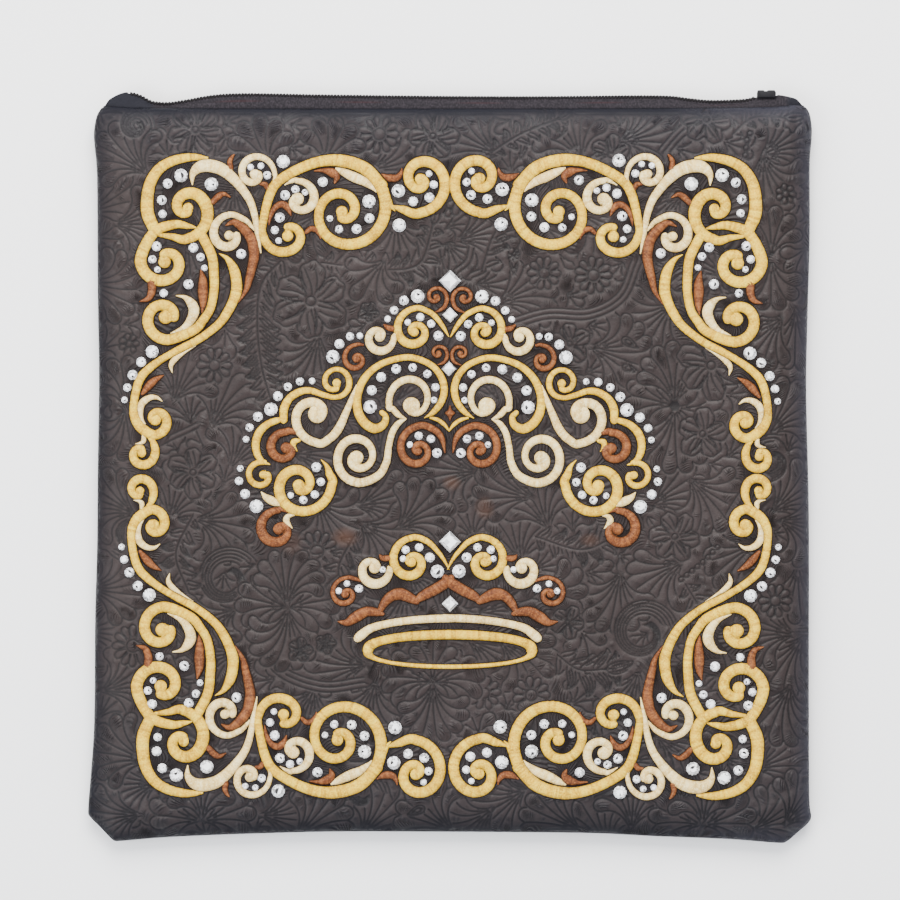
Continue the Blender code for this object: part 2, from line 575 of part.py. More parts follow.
def zip_coil(material):
    """The closed coil along the ridge, as one round strip."""
    sections = []
    for x in zip_stations(COIL_ENDS):
        middle = ridge_height(x) - COIL_RADIUS
        turns = [2 * math.pi * i / COIL_SIDES for i in range(COIL_SIDES)]
        sections.append([(x, middle + COIL_RADIUS * math.cos(a), SEAM_HEIGHT + COIL_RADIUS * math.sin(a))
                         for a in turns])
    return loft("zip_coil", sections, material)


def block(low, high):
    """A box between two corners, in its own mesh."""
    mesh = bmesh.new()
    low, high = metres(*low), metres(*high)
    bmesh.ops.create_cube(mesh, size=1.0)
    for vert in mesh.verts:
        vert.co = Vector([low[i] + (vert.co[i] + 0.5) * (high[i] - low[i]) for i in range(3)])
    return mesh


def helper(name, mesh):
    """An object that only lends its shape to a Boolean."""
    data = bpy.data.meshes.new(name)
    mesh.to_mesh(data)
    mesh.free()
    made = bpy.data.objects.new(name, data)
    made.hide_render = True
    made.display_type = "WIRE"
    bpy.context.scene.collection.objects.link(made)
    return made


def zip_slider(material):
    """The slider at the closed end and its pull, which hangs behind the back leather: one plain piece."""
    start, stop = SLIDER_MIDDLE - SLIDER_LENGTH / 2, SLIDER_MIDDLE + SLIDER_LENGTH / 2
    foot = ridge_height(SLIDER_MIDDLE) - 2 * COIL_RADIUS
    half = SLIDER_WIDTH / 2
    body = make_object("zip_slider", block(
        (start, foot, SEAM_HEIGHT - half), (stop, foot + SLIDER_HEIGHT, SEAM_HEIGHT + half)), material)
    bevel = body.modifiers.new("rounded", "BEVEL")
    bevel.width = 0.9 * MM
    bevel.segments = 2
    pull_end = stop - 1.2
    pull_top = foot - 1.3
    shapes = {
        "link": block((pull_end - LINK_WIDTH, pull_top - 1.0, PULL_LIFT),
                      (pull_end, foot + 2 * COIL_RADIUS, LINK_TOP)),
        "pull": block((pull_end - PULL_LENGTH, pull_top - PULL_WIDTH, PULL_LIFT + 0.05),
                      (pull_end - 0.05, pull_top, PULL_LIFT + PULL_THICKNESS)),
    }
    for name, shape in shapes.items():
        joined = body.modifiers.new(name, "BOOLEAN")
        joined.operation = "UNION"
        joined.solver = "EXACT"
        joined.object = helper(name + "_shape", shape)
    return body


def span_steps(length, fewest=1):
    """How many straight steps stand for a curved span of a length."""
    return max(fewest, math.ceil(length / LONGEST_STEP))


def leaf_rows(dots):
    """A leaf's (x, y, width) rows, close enough together to look curved."""
    return smoothed(dots, [span_steps(math.dist(a[:2], b[:2])) for a, b in zip(dots, dots[1:])])


def scroll_rows(scroll):
    """A scroll's (x, y, width) rows: round about its eye first, then along its tail."""
    way = 1 if scroll.turn == "ccw" else -1
    turns = [(QUARTER_TURN[scroll.first] + way * i, *arm) for i, arm in enumerate(scroll.arms)]
    rows = []
    for turn, radius, width in smoothed(turns, [span_steps(math.pi / 2 * arm[1], ARM_STEPS) for arm in turns]):
        angle = math.pi / 2 * turn
        rows.append((scroll.eye.x + radius * math.cos(angle), scroll.eye.y + radius * math.sin(angle), width))
    if not scroll.tail:
        return np.array(rows)
    bend = [rows[-3], rows[-1]] + scroll.tail
    tail = leaf_rows(bend)
    start = span_steps(math.dist(bend[0][:2], bend[1][:2]))
    return np.vstack([rows, tail[start + 1:]])


def placed(x, y, place):
    """A chart point of the drawn part of the design, moved to one of its repeats."""
    return (place.xx * x + place.xy * y + place.shift_x, place.yx * x + place.yy * y + place.shift_y)


def facing_up(points):
    """The same flat outline, turned anticlockwise."""
    twice = sum(a[0] * b[1] - b[0] * a[1] for a, b in zip(points, points[1:] + points[:1]))
    return points if twice > 0 else points[::-1]


def strip_faces(rows):
    """A stroke as a row of flat four-sided faces."""
    ahead = np.gradient(rows[:, :2], axis=0)
    ahead /= np.linalg.norm(ahead, axis=1)[:, None]
    half = np.maximum(rows[:, 2:3] / 2 + STITCH_EDGE, STITCH_EDGE)
    side = np.column_stack([-ahead[:, 1], ahead[:, 0]]) * half
    left, right = rows[:, :2] + side, rows[:, :2] - side
    return [[tuple(left[i]), tuple(right[i]), tuple(right[i + 1]), tuple(left[i + 1])]
            for i in range(len(rows) - 1)]


def eye_face(scroll):
    """The round eye of a scroll, as one flat face."""
    turns = [2 * math.pi * (i + 0.5) / EYE_SIDES for i in range(EYE_SIDES)]
    reach = scroll.eye_radius + STITCH_EDGE
    return [(scroll.eye.x + reach * math.cos(a), scroll.eye.y + reach * math.sin(a)) for a in turns]


def motif_faces(motif, places):
    """Every flat face of a motif, at each of its places."""
    drawn = [eye_face(scroll) for scroll in motif.scrolls]
    strokes = [scroll_rows(scroll) for scroll in motif.scrolls] + [leaf_rows(dots) for dots in motif.leaves]
    for rows in strokes:
        drawn += strip_faces(rows)
    return [facing_up([placed(x, y, place) for x, y in face]) for place in places for face in drawn]


def relief(name, faces, material):
    """One raised body over the union of flat faces, bent to lie on the front leather."""
    corners = [Vector(point) for face in faces for point in face]
    counts = np.cumsum([0] + [len(face) for face in faces])
    outlines = [list(range(counts[i], counts[i + 1])) for i in range(len(faces))]
    points, _, triangles, _, _, owners = geometry.delaunay_2d_cdt(corners, [], outlines, 1, 1e-4)
    mesh = bmesh.new()
    flat = [mesh.verts.new((x, y, 0.0)) for x, y in points]
    for triangle, owner in zip(triangles, owners):
        if owner:
            mesh.faces.new([flat[i] for i in triangle])
    mesh.normal_update()
    bmesh.ops.dissolve_limit(
        mesh, angle_limit=math.radians(STRAIGHT_DEGREES), verts=mesh.verts, edges=mesh.edges)
    bmesh.ops.delete(mesh, geom=[vert for vert in mesh.verts if not vert.link_faces], context="VERTS")
    raised = bmesh.ops.extrude_face_region(mesh, geom=mesh.faces[:])["geom"]
    top = {item for item in raised if isinstance(item, bmesh.types.BMVert)}
    for vert in mesh.verts:
        lift = TRIM_GAP + (STITCH_RELIEF if vert in top else 0.0)
        vert.co = metres(vert.co.x, vert.co.y, front_height(vert.co.x, vert.co.y) + lift)
    return make_object(name, mesh, material)


def ring_faces():
    """The flat faces of the crown's oval ring."""
    turns = [2 * math.pi * i / RING_STEPS for i in range(RING_STEPS + 1)]
    rims = []
    for reach in (RING_INNER, RING_OUTER):
        rims.append([(RING_MIDDLE.x + reach.x * math.cos(a), RING_MIDDLE.y + reach.y * math.sin(a))
                     for a in turns])
    inner, outer = rims
    return [facing_up([inner[i], outer[i], outer[i + 1], inner[i + 1]]) for i in range(RING_STEPS)]


def crystal(name, x, y, size, sides, table_share, material):
    """A flat-back crystal of so many sides, with a table and a facet up to it from each side."""
    base = front_height(x, y) + TRIM_GAP
    turns = [2 * math.pi * i / sides for i in range(sides)]
    sections = []
    for reach, lift in ((1.0, 0.0), (table_share, STONE_HEIGHT)):
        sections.append([(x + size / 2 * reach * math.cos(a), y + size / 2 * reach * math.sin(a),
                          base + size * lift) for a in turns])
    return loft(name, sections, material)


def build_leather():
    """Both leather sheets."""
    leather = make_material("tooled_leather", (0.075, 0.062, 0.066), 0.5)
    leather_panel("front_panel", front_height, leather)
    leather_panel("back_panel", back_height, leather)


def build_zip():
    """Tapes, coil and slider of the closed zip."""
    cloth = make_material("tape_cloth", (0.085, 0.062, 0.066), 0.9)
    nylon = make_material("coil_nylon", (0.05, 0.035, 0.037), 0.45)
    metal = make_material("slider_metal", (0.05, 0.045, 0.045), 0.4, 0.8)
    zip_tape("zip_tape_front", 1, front_height, cloth)
    zip_tape("zip_tape_back", -1, back_height, cloth)
    zip_coil(nylon)
    zip_slider(metal)


def build_embroidery():
    """The raised scrollwork: four corners of the frame, the tiara and the crown."""
    gold = make_material("gold_thread", (0.72, 0.52, 0.24), 0.5)
    cream = make_material("cream_thread", (0.76, 0.68, 0.5), 0.5)
    copper = make_material("copper_thread", (0.42, 0.15, 0.06), 0.5)
    for quarter in QUARTERS:
        relief("frame_" + quarter.name, motif_faces(FRAME, [quarter]), gold)
    for half in HALVES:
        relief("tiara_body_" + half.name, motif_faces(TIARA_BODY, [half]), gold)
        relief("tiara_vine_" + half.name, motif_faces(TIARA_VINE, [half]), cream)
        relief("tiara_heart_" + half.name, motif_faces(TIARA_HEART, [half]), copper)
        relief("tiara_bud_" + half.name, motif_faces(TIARA_BUD, [half]), copper)
        relief("tiara_hook_" + half.name, motif_faces(TIARA_HOOK, [half]), copper)
        relief("tiara_end_" + half.name, motif_faces(TIARA_END, [half]), gold)
    relief("tiara_crest", motif_faces(TIARA_CREST, HALVES), gold)
    relief("crown_crest", motif_faces(CROWN_CREST, HALVES), gold)
    relief("crown_waved_rim", motif_faces(WAVED_RIM, HALVES), copper)
    relief("crown_far_rim", motif_faces(FAR_RIM, HALVES), cream)
    relief("crown_ring", ring_faces(), gold)


def build_crystals():
    """The main crystals, each a solid of its own."""
    glass = make_material("crystal", (0.9, 0.9, 0.92), 0.05)
    for quarter, shift in zip(QUARTERS, STONE_SHIFTS):
        for i, stone in enumerate(FRAME_STONES, start=1):
            x, y = placed(stone.x, stone.y, quarter)
            name = f"stone_{quarter.name}_{i}"
            crystal(name, x + shift.x, y + shift.y, stone.size, STONE_FACETS, TABLE_SHARE, glass)
    for i, stone in enumerate(SQUARE_STONES, start=1):
        corner_size = stone.size * math.sqrt(2)
        crystal(f"square_stone_{i}", stone.x, stone.y, corner_size, 4, SQUARE_TABLE_SHARE, glass)


def main():
    """Builds the bag in an empty scene."""
    for old in list(bpy.data.objects):
        bpy.data.objects.remove(old)
    build_leather()
    build_zip()
    build_embroidery()
    build_crystals()


main()
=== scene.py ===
"""The looks of a flat square zip bag for a prayer shawl, dressed over its fixed frame.

The bag lies on its back, +Z out of its front and +Y towards its zip. Places on the front are given
on a flat chart in millimetres, and Chart turns them into places in the frame, in metres.
"""

import logging
import math
from dataclasses import dataclass, field
from enum import Enum
from typing import Iterable, NamedTuple, Sequence

import bmesh
import bpy
import numpy as np
from mathutils import Matrix, Vector, geometry


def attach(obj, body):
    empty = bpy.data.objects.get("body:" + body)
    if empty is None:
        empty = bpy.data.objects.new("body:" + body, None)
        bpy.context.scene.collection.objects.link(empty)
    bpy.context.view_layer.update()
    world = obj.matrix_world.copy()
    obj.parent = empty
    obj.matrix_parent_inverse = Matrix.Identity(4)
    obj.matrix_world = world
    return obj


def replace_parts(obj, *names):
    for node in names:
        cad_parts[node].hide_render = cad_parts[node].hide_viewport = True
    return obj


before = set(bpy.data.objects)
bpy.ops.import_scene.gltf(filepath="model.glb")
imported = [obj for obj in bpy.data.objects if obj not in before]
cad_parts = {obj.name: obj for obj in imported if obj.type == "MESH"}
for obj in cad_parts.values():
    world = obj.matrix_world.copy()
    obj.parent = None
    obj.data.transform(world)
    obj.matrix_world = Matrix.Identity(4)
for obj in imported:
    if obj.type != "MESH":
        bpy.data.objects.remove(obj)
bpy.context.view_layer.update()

LOG = logging.getLogger("tallit_bag")
MM = 0.001
BODY = "root"
TURN = 2 * math.pi
# In millimetres, further off than any line is looked for
FAR = 9.0

Array = np.ndarray
Material = bpy.types.Material
Piece = bpy.types.Object
Socket = bpy.types.NodeSocket
Triple = tuple[float, float, float]
Pairs = Sequence[tuple[float, float]]
Dots = Sequence[Triple]
Rows = Sequence[tuple[float, ...]]
Strokes = list[tuple[Array, Array]]


class Thread(Enum):
    """The three embroidery threads."""

    GOLD = "gold"
    CREAM = "cream"
    COPPER = "copper"


class Side(Enum):
    """The sides of a scroll's eye, by quarter turns from its right."""

    EAST = 0
    NORTH = 1
    WEST = 2
    SOUTH = 3


class Hand(Enum):
    """The two ways in which a scroll can wind."""

    CLOCKWISE = -1
    ANTICLOCKWISE = 1


class Scroll(NamedTuple):
    """A stroke that starts at a round eye: arms are (radius, width) at each quarter turn, then a tail."""

    thread: Thread
    eye: tuple[float, float]
    eye_radius: float
    first: Side
    hand: Hand
    arms: Pairs
    tail: Dots


class Leaf(NamedTuple):
    """A stroke through (x, y, width) places."""

    thread: Thread
    dots: Dots


class Place(NamedTuple):
    """A repeat of a drawn part of the design: a small stretch and lean, and a shift."""

    name: str
    xx: float
    xy: float
    yx: float
    yy: float
    shift_x: float
    shift_y: float

    def of(self, x: Array, y: Array) -> tuple[Array, Array]:
        """Chart places of the drawn part, moved to this repeat."""
        return (self.xx * x + self.xy * y + self.shift_x, self.yx * x + self.yy * y + self.shift_y)


# The outline of the leather and the ridge of the zip above it, as chart places
LEFT_SIDE: Pairs = (
    (-163.4, -166.5), (-168.6, -161.2), (-169.5, -158), (-168.3, -142), (-166.6, -115),
    (-166.2, -68), (-165.3, -35), (-165, 0), (-164.4, 45), (-165, 85),
    (-165.3, 137), (-166.4, 152), (-166.8, 159), (-165.6, 166.5), (-163.4, 170.6))
RIGHT_SIDE: Pairs = (
    (162.4, -168.9), (167.9, -164), (169.2, -160.5), (168.3, -151), (168.1, -100),
    (168.1, -20), (166.9, 35), (167.3, 66), (168.5, 110), (168.5, 144),
    (169.3, 155), (169.5, 161), (168.6, 167.5), (166.9, 170.9))
BOTTOM_SIDE: Pairs = (
    (-163.4, -166.5), (-158, -172), (-154.5, -172.6), (-135, -171), (-105, -169.6),
    (-60, -168.3), (-20, -168.2), (60, -168.8), (95, -170.3), (130, -171.7),
    (153.5, -173.5), (158, -172.6), (162.4, -168.9))
TOP_SIDE: Pairs = (
    (-163.4, 170.6), (-159, 171.4), (-148, 170.7), (-110, 170.3), (0, 170.2),
    (110, 170.4), (150, 171), (161, 172), (166.9, 170.9))
RIDGE: Pairs = (
    (-162.8, 170.6), (-161, 172.4), (-159.6, 174.6), (-154.6, 177.3), (-149.9, 178.2), (-144.9, 176.9),
    (-139, 174), (-131, 173.6), (-124.4, 174.6), (-102.7, 177.6), (-60, 177.1),
    (-10, 176.5), (40, 176.3), (96, 176.7), (112, 175.4), (122, 174.5),
    (137.8, 175), (144, 176.6), (150, 177.4), (158.8, 175.9), (162.6, 174.6),
    (164.4, 172.4), (166.2, 170.8))

GOLD, CREAM, COPPER = Thread
E, N, W, S = Side
CW, CCW = Hand


class Motif(NamedTuple):
    """A part of the design that was sewn in one go: its scrolls and its plain strokes."""

    scrolls: list[Scroll]
    leaves: list[Leaf]


# The top left quarter of the frame
FRAME = Motif([
    Scroll(GOLD, (-122.3, 123.6), 2.4, S, CW, [(2.2, 3.8), (5, 4.8), (6.8, 5.4), (8.7, 5.8),
        (14.3, 4.7)], [(-130, 110.2, 3), (-136.5, 111, 1.5)]),
    Scroll(GOLD, (-133.3, 98.3), 2.9, N, CW, [(3.6, 4.6), (6.7, 5), (8.6, 5.3), (11.2, 5.5)],
        [(-138.5, 111.8, 5), (-128.7, 115.8, 4.2), (-122, 115, 2.5), (-118.5, 114.3, 0.6)]),
    Scroll(GOLD, (-132.8, 72.5), 3.2, E, CCW, [(3.9, 4.4), (5.6, 4.8), (8.2, 5.1), (10.5, 5)],
        [(-120, 66.3, 4.6), (-115, 71.5, 4.2), (-111.7, 77, 4), (-110.2, 85, 4.2), (-110.2, 92, 4.4),
        (-111.2, 101, 4.6), (-115.5, 110, 4.6)]),
    Scroll(GOLD, (-137.5, 24.5), 2.6, W, CW, [(1.5, 3.4), (3.5, 3.8), (5.1, 4.5), (7, 4.5)],
        [(-143.8, 20.5, 4.8), (-147, 25, 4.2), (-147.8, 30, 3.6), (-146.5, 38.4, 3.8), (-144.2, 44.5, 4),
        (-140.3, 48.7, 3.8), (-135, 52.6, 3.4), (-130, 55.6, 3.2), (-125, 58.3, 3.4), (-118.5, 61.5, 3.6),
        (-112.5, 65.5, 3.8), (-107.3, 70, 4), (-103.8, 75, 4.4), (-101.3, 80, 4.6), (-99.7, 85, 5.2),
        (-99.8, 90, 5), (-101, 95, 4.6), (-104, 99.8, 2.4), (-107.9, 102.3, 0.3)]),
    Scroll(GOLD, (-143.9, 9), 2, N, CCW, [(2.2, 3), (3.9, 3.6), (5.4, 4.2), (6.2, 4)], [(-138.6, 14, 3),
        (-140.8, 16.2, 1)]),
    Scroll(GOLD, (-75.8, 110.4), 2.6, N, CW, [(4.3, 3.6), (6, 4.2), (7.2, 4.6), (11.4, 4)],
        [(-87.1, 118, 3.8), (-84, 130, 4.4), (-79.6, 136.4, 4.6), (-70, 142, 4.8), (-60, 145.3, 5.1),
        (-50, 145.5, 5.8), (-39.5, 142, 5.6), (-31.8, 134, 5.4)]),
    Scroll(GOLD, (-50.5, 121.8), 2.7, S, CCW, [(3, 4.2), (5.9, 4.6), (8.4, 4.6), (10.6, 4.4), (15, 5),
        (20.3, 5.4), (23.7, 5.8)], []),
    Scroll(GOLD, (-13.8, 137), 2.6, E, CW, [(1.5, 3.6), (4.4, 4.2), (5.6, 4.6), (8, 5), (11.2, 5),
        (15.8, 4.7)], [(-22, 122.8, 3.6), (-27.3, 124.6, 0.6)]),
    Scroll(CREAM, (-103.2, 110.7), 2.2, E, CW, [(3.6, 3.4), (5.2, 4.2), (7, 4.1), (9.6, 3)],
        [(-96, 118.1, 2.6), (-92.7, 114.9, 1.6), (-91.5, 113, 0.4)]),
    Scroll(CREAM, (-91.3, 139.4), 2.2, E, CW, [(2, 3), (3.8, 3.4), (5.7, 3.4), (8, 3.2), (9.5, 2.2)],
        [(-83.3, 133.5, 0.5)]),
    Scroll(CREAM, (-71.1, 127.7), 2.9, W, CCW, [(1.8, 3.2), (4.9, 3.6), (7.6, 4.2), (8.5, 2.8)],
        [(-74, 136, 1.8), (-77.3, 134.2, 0.4)]),
], [
    Leaf(CREAM, [(-118.5, 59.3, 0.2), (-124, 56, 1.2), (-128.5, 52.8, 2.6), (-130.3, 50, 2.2),
        (-129.7, 46.5, 0.2)]),
    Leaf(CREAM, [(-143.2, 17, 1.6), (-143, 15, 2.4), (-144.2, 13.8, 1.6), (-147, 13.3, 0.2)]),
    Leaf(COPPER, [(-110.8, 126.3, 2.6), (-108, 129, 3), (-105.5, 130, 2), (-102.4, 128.5, 0.4)]),
    Leaf(COPPER, [(-102.5, 142.2, 2.6), (-102.8, 145, 2.4), (-101.8, 147.3, 1.6), (-100.6, 148.6, 0.4)]),
    Leaf(COPPER, [(-89, 134.6, 0.8), (-86.6, 134.6, 2.4), (-85, 132.6, 2.2), (-84.8, 131, 1)]),
    Leaf(COPPER, [(-133.5, 45.5, 0.2), (-137.5, 43.3, 2.8), (-140.5, 40.6, 3.6), (-143.6, 36.8, 1.6)]),
    Leaf(COPPER, [(-84.6, 115.5, 0.3), (-83.8, 120, 2), (-81.5, 123.8, 2.6), (-78.5, 125.2, 3.2),
        (-75.8, 123.6, 3), (-74.2, 119.8, 0.3)]),
    Leaf(COPPER, [(-67.3, 112, 1.6), (-65, 113.8, 2.4), (-62.3, 113.2, 2.6), (-60.7, 111, 1.8),
        (-60.4, 109, 0.4)]),
    Leaf(COPPER, [(-32, 139.4, 0.3), (-28.5, 137.6, 3.2), (-25, 137.6, 3.2), (-23, 139.6, 2),
        (-22.4, 142, 0.3)]),
    Leaf(GOLD, [(-30.5, 132, 1.6), (-29, 127.5, 3.2), (-27.3, 124, 2), (-25.5, 122, 0.3)]),
    Leaf(GOLD, [(-113, 146.8, 1), (-118, 147.2, 3), (-123, 147, 4), (-130, 145.3, 4.6), (-136, 141.5, 5),
        (-140, 135, 5.4), (-141.4, 127, 5.8), (-141, 120.5, 6), (-138.3, 114, 5.5)]),
    Leaf(CREAM, [(-120.3, 134.2, 0.4), (-120.2, 139, 3), (-117.5, 142.3, 5.2), (-113, 143.3, 6),
        (-107, 141.8, 5.8), (-102, 138, 5), (-97.5, 133, 4.2), (-93.5, 127, 3.6), (-91.2, 120, 3.1),
        (-89.6, 110, 2.2), (-88.3, 102.4, 0.5)]),
    Leaf(CREAM, [(-128, 82.6, 0.4), (-124, 81.8, 2), (-120.8, 79, 4.4), (-119.5, 75.5, 5),
        (-121, 71.3, 4.2), (-124.5, 67.5, 2.6), (-130.5, 64.9, 0.4)]),
    Leaf(CREAM, [(-134.3, 33.2, 0.3), (-137, 35, 1.8), (-140.5, 34.8, 2.8), (-143.8, 32.3, 3.4),
        (-144.6, 28.5, 2.6), (-143.8, 24.5, 1.6), (-141.3, 21, 0.4)]),
    Leaf(CREAM, [(-53.5, 142, 1), (-50, 140.4, 3.4), (-45, 138, 4.6), (-40, 135.8, 4), (-36, 132.8, 2),
        (-34.3, 130.8, 0.4)]),
    Leaf(COPPER, [(-104.9, 115.3, 0.4), (-100.7, 116.8, 3), (-96.2, 113.7, 4.4), (-92.8, 109, 4.8),
        (-91.8, 105, 4.9), (-91.6, 100, 4.6), (-93.9, 90, 3.4), (-95.3, 85, 2.2), (-98.9, 79.2, 0.3)]),
    Leaf(COPPER, [(-116.4, 94.8, 0.4), (-115.4, 90, 3.6), (-115.4, 85, 4.6), (-115.3, 79.5, 3.4),
        (-115.8, 74.5, 0.4)]),
    Leaf(COPPER, [(-139.2, 89, 4.2), (-139.3, 84.5, 3.6), (-141, 81.2, 2.6), (-145, 79.8, 0.3)]),
    Leaf(COPPER, [(-63.5, 140.8, 0.4), (-59, 141, 2), (-55, 140, 4.2), (-53, 137.8, 3.2),
        (-54, 134.9, 0.4)]),
])

# The left half of the tiara, motif by motif
TIARA_BODY = Motif([
    Scroll(GOLD, (-52.9, 41.8), 2, S, CW, [(2.6, 2.6), (5.4, 2.6), (6.4, 2.3), (5.9, 2.9), (6.6, 2.3)],
        [(-59, 36.2, 2.6), (-65, 38.2, 3), (-70, 37.7, 3.4), (-74.8, 34.7, 3.6), (-77.4, 30, 4),
        (-77.7, 24.6, 3.6)]),
    Scroll(GOLD, (-87.2, -1), 1.9, E, CW, [(2, 2.9), (4.7, 2.9), (6.7, 2.8), (5.8, 2.6)],
        [(-85.5, 4.3, 0.6)]),
    Scroll(CREAM, (-62, 27.3), 4.3, E, CCW, [(2.2, 4.4), (4.8, 4.6), (9.6, 4.3), (13.5, 3.9)],
        [(-56.5, 15.6, 3.9), (-52, 20.5, 4), (-48.3, 28.5, 3.2), (-45.5, 35.5, 2.2), (-43.6, 41, 0.4)]),
    Scroll(COPPER, (-5.5, 55.8), 1.1, E, CW, [(0.8, 1.4), (1.5, 1.4), (2.3, 1.4), (2.9, 1.5),
        (4.1, 1.6)], [(-2, 52.4, 1.6), (-3.6, 51, 1.2), (-5.8, 50.2, 0.3)]),
], [
    Leaf(GOLD, [(-76.4, 25.4, 1.6), (-81, 24.2, 3), (-85.5, 22.3, 3.4), (-89.2, 18.4, 3.8),
        (-90.7, 13.2, 3.7), (-89.8, 8.2, 3.2), (-87.2, 5, 2.2), (-84, 3.7, 0.4)]),
    Leaf(GOLD, [(-12, 25.4, 0.3), (-7.5, 28.4, 2.6), (-3.8, 33.5, 3.2), (-2.7, 39.5, 3.4),
        (-4.6, 45.5, 3.2), (-9.5, 50.6, 3), (-18.3, 53.7, 3), (-27.5, 52.4, 3), (-34.8, 49, 3.2),
        (-40.3, 43.3, 3.6), (-43.2, 36, 3.8), (-43, 28.8, 4.2), (-40, 23.3, 4.4), (-35.2, 20.5, 4.4),
        (-31, 22.4, 3.6), (-30, 26, 2.8), (-31.8, 28, 2.4)]),
    Leaf(GOLD, [(-9.5, 25.6, 1), (-5.8, 24.6, 1.8), (-2.6, 22.3, 1.8), (-0.3, 19.2, 0.4)]),
])
TIARA_VINE = Motif([
    Scroll(CREAM, (-43.6, 7), 3.2, W, CCW, [(2, 3.6), (4.7, 3.8), (7.4, 3.1), (8.8, 4), (8.8, 4),
        (11.6, 4.1)], [(-34, -1.8, 3.8), (-29.8, 4.5, 3.4), (-28.6, 12, 3), (-27, 18.5, 3), (-24, 23, 2.6),
        (-20.3, 25, 0.4)]),
    Scroll(CREAM, (-18, 31.2), 4, S, CCW, [(3, 3), (6.7, 2.8), (12.3, 3.4), (10.4, 3)],
        [(-26.5, 29.5, 2.8), (-24, 26.8, 2.6), (-20.4, 25, 0.4)]),
], [])
TIARA_HEART = Motif([
    Scroll(COPPER, (-76.5, 11.5), 2.6, E, CW, [(2.4, 3.4), (4.8, 3.6), (7.1, 4.2), (7.4, 3.5)],
        [(-74.5, 19.3, 3), (-72.6, 18.8, 2.4)]),
], [
    Leaf(GOLD, [(-70.4, 15, 1.6), (-72.8, 14.4, 3), (-73, 12.2, 2.2), (-71.3, 9.9, 0.3)]),
])
TIARA_CREST = Motif([
    Scroll(GOLD, (-16.6, 65.4), 2, W, CW, [(1.4, 2.6), (3.4, 2.8), (4.9, 3.4), (5.4, 4.2), (7.6, 3.8),
        (11.2, 2.8)], [(-9.5, 74.8, 2.6), (-5.8, 71.5, 2.4), (-2.8, 67.3, 1.8), (-0.5, 63.3, 0.3)]),
    Scroll(CREAM, (-32.8, 63.3), 2.3, E, CCW, [(0.8, 2.8), (2.9, 3), (5, 3.6), (6.6, 3.9), (6.6, 2.6)],
        [(-25.6, 65.4, 0.4)]),
    Scroll(COPPER, (-6.5, 82), 1.3, E, CW, [(1, 1.6), (2, 1.8), (3.3, 1.8), (4, 1.7), (5, 2)],
        [(-2.3, 77.8, 1.8), (-4.6, 75.8, 1.4), (-7.3, 74.7, 0.3)]),
], [
    Leaf(COPPER, [(-31, 69.2, 0.6), (-29, 67.6, 2.4), (-26.4, 67, 2.6)]),
    Leaf(COPPER, [(0, 31.3, 0.3), (0, 29.3, 1.7), (0, 27.7, 4.8), (0, 26.1, 1.7), (0, 24.1, 0.3)]),
])
TIARA_BUD = Motif([
    Scroll(COPPER, (-43.7, 52.8), 1.6, W, CW, [(1, 1.6), (2, 1.8), (2.9, 2), (4, 2.6), (5.4, 2.4),
        (6.8, 1.8)], [(-40.3, 59.5, 1)]),
], [])
TIARA_HOOK = Motif([
    Scroll(COPPER, (-14.8, 9.8), 1.8, W, CW, [(1.2, 2.8), (3.4, 3), (4.4, 3), (5.6, 3.6), (7.9, 3.6),
        (11.9, 3.4)], [(-7.5, 20, 3.2), (-3.8, 15.8, 2.6), (-2.3, 9, 0.3)]),
], [])
TIARA_END = Motif([
    Scroll(GOLD, (-70.6, -6), 2.8, S, CCW, [(2.2, 4), (5, 4.2), (7.1, 4.6), (9, 5), (12, 4.6),
        (15.4, 4.3)], [(-56.3, -0.5, 3.6), (-57.6, 3, 2), (-60.2, 6, 0.3)]),
    Scroll(COPPER, (-80, -26.4), 2.6, N, CW, [(0.8, 3), (4, 3.2), (5.9, 4.6), (8.2, 4.7), (8.8, 3)],
        [(-79, -17.3, 2), (-75.5, -18.6, 0.4)]),
], [
    Leaf(CREAM, [(-88.2, -9, 0.3), (-86, -11.5, 3), (-82.8, -13.4, 4), (-79, -15.2, 1.6)]),
    Leaf(CREAM, [(-72.3, -19.8, 0.6), (-75.5, -20.4, 2.4), (-76.3, -22.8, 3), (-73.6, -26.1, 0.3)]),
])

# The left half of the crown below it: crest, waved rim and far rim
CROWN_CREST = Motif([
    Scroll(GOLD, (-18, -42), 2.2, W, CW, [(1.5, 2.8), (3.2, 2.8), (4.6, 4), (6.1, 4.4), (8.2, 4),
        (11.5, 3)], [(-11, -32, 2.8), (-6.5, -36, 2.2), (-3, -40.5, 1.6), (-0.4, -45.4, 0.3)]),
    Scroll(CREAM, (-35.2, -44.6), 2.6, E, CCW, [(1, 3), (2.8, 3), (5.6, 3.8), (7.4, 4.5), (7.2, 3)],
        [(-27.6, -44, 0.4)]),
    Scroll(COPPER, (-48.8, -57), 1.6, W, CW, [(1, 2), (1.8, 2), (3.3, 2.4), (4, 2.6), (5.8, 2.2),
        (7.7, 1.8)], [(-44.5, -49.6, 1.8), (-41.5, -50.8, 0.8)]),
], [
    Leaf(COPPER, [(-33, -38.3, 0.4), (-31.3, -40, 2.6), (-28, -40, 2.6)]),
])
WAVED_RIM = Motif([], [
    Leaf(COPPER, [(-52.5, -69.6, 0.3), (-48, -70, 3.4), (-44, -67.5, 5), (-39, -65, 4.6), (-34, -65.3, 3.6),
        (-31.6, -66, 2)]),
    Leaf(COPPER, [(-33, -65.8, 2), (-31, -61.5, 3.8), (-27.5, -57.8, 4.8), (-23, -56.8, 5.6),
        (-18.5, -58.6, 4.6), (-15.6, -60.2, 3)]),
    Leaf(COPPER, [(-16.4, -60.6, 1.6), (-13, -57.8, 4.4), (-7, -54.6, 5), (-2.5, -51.8, 5),
        (0.6, -49.2, 3)]),
])
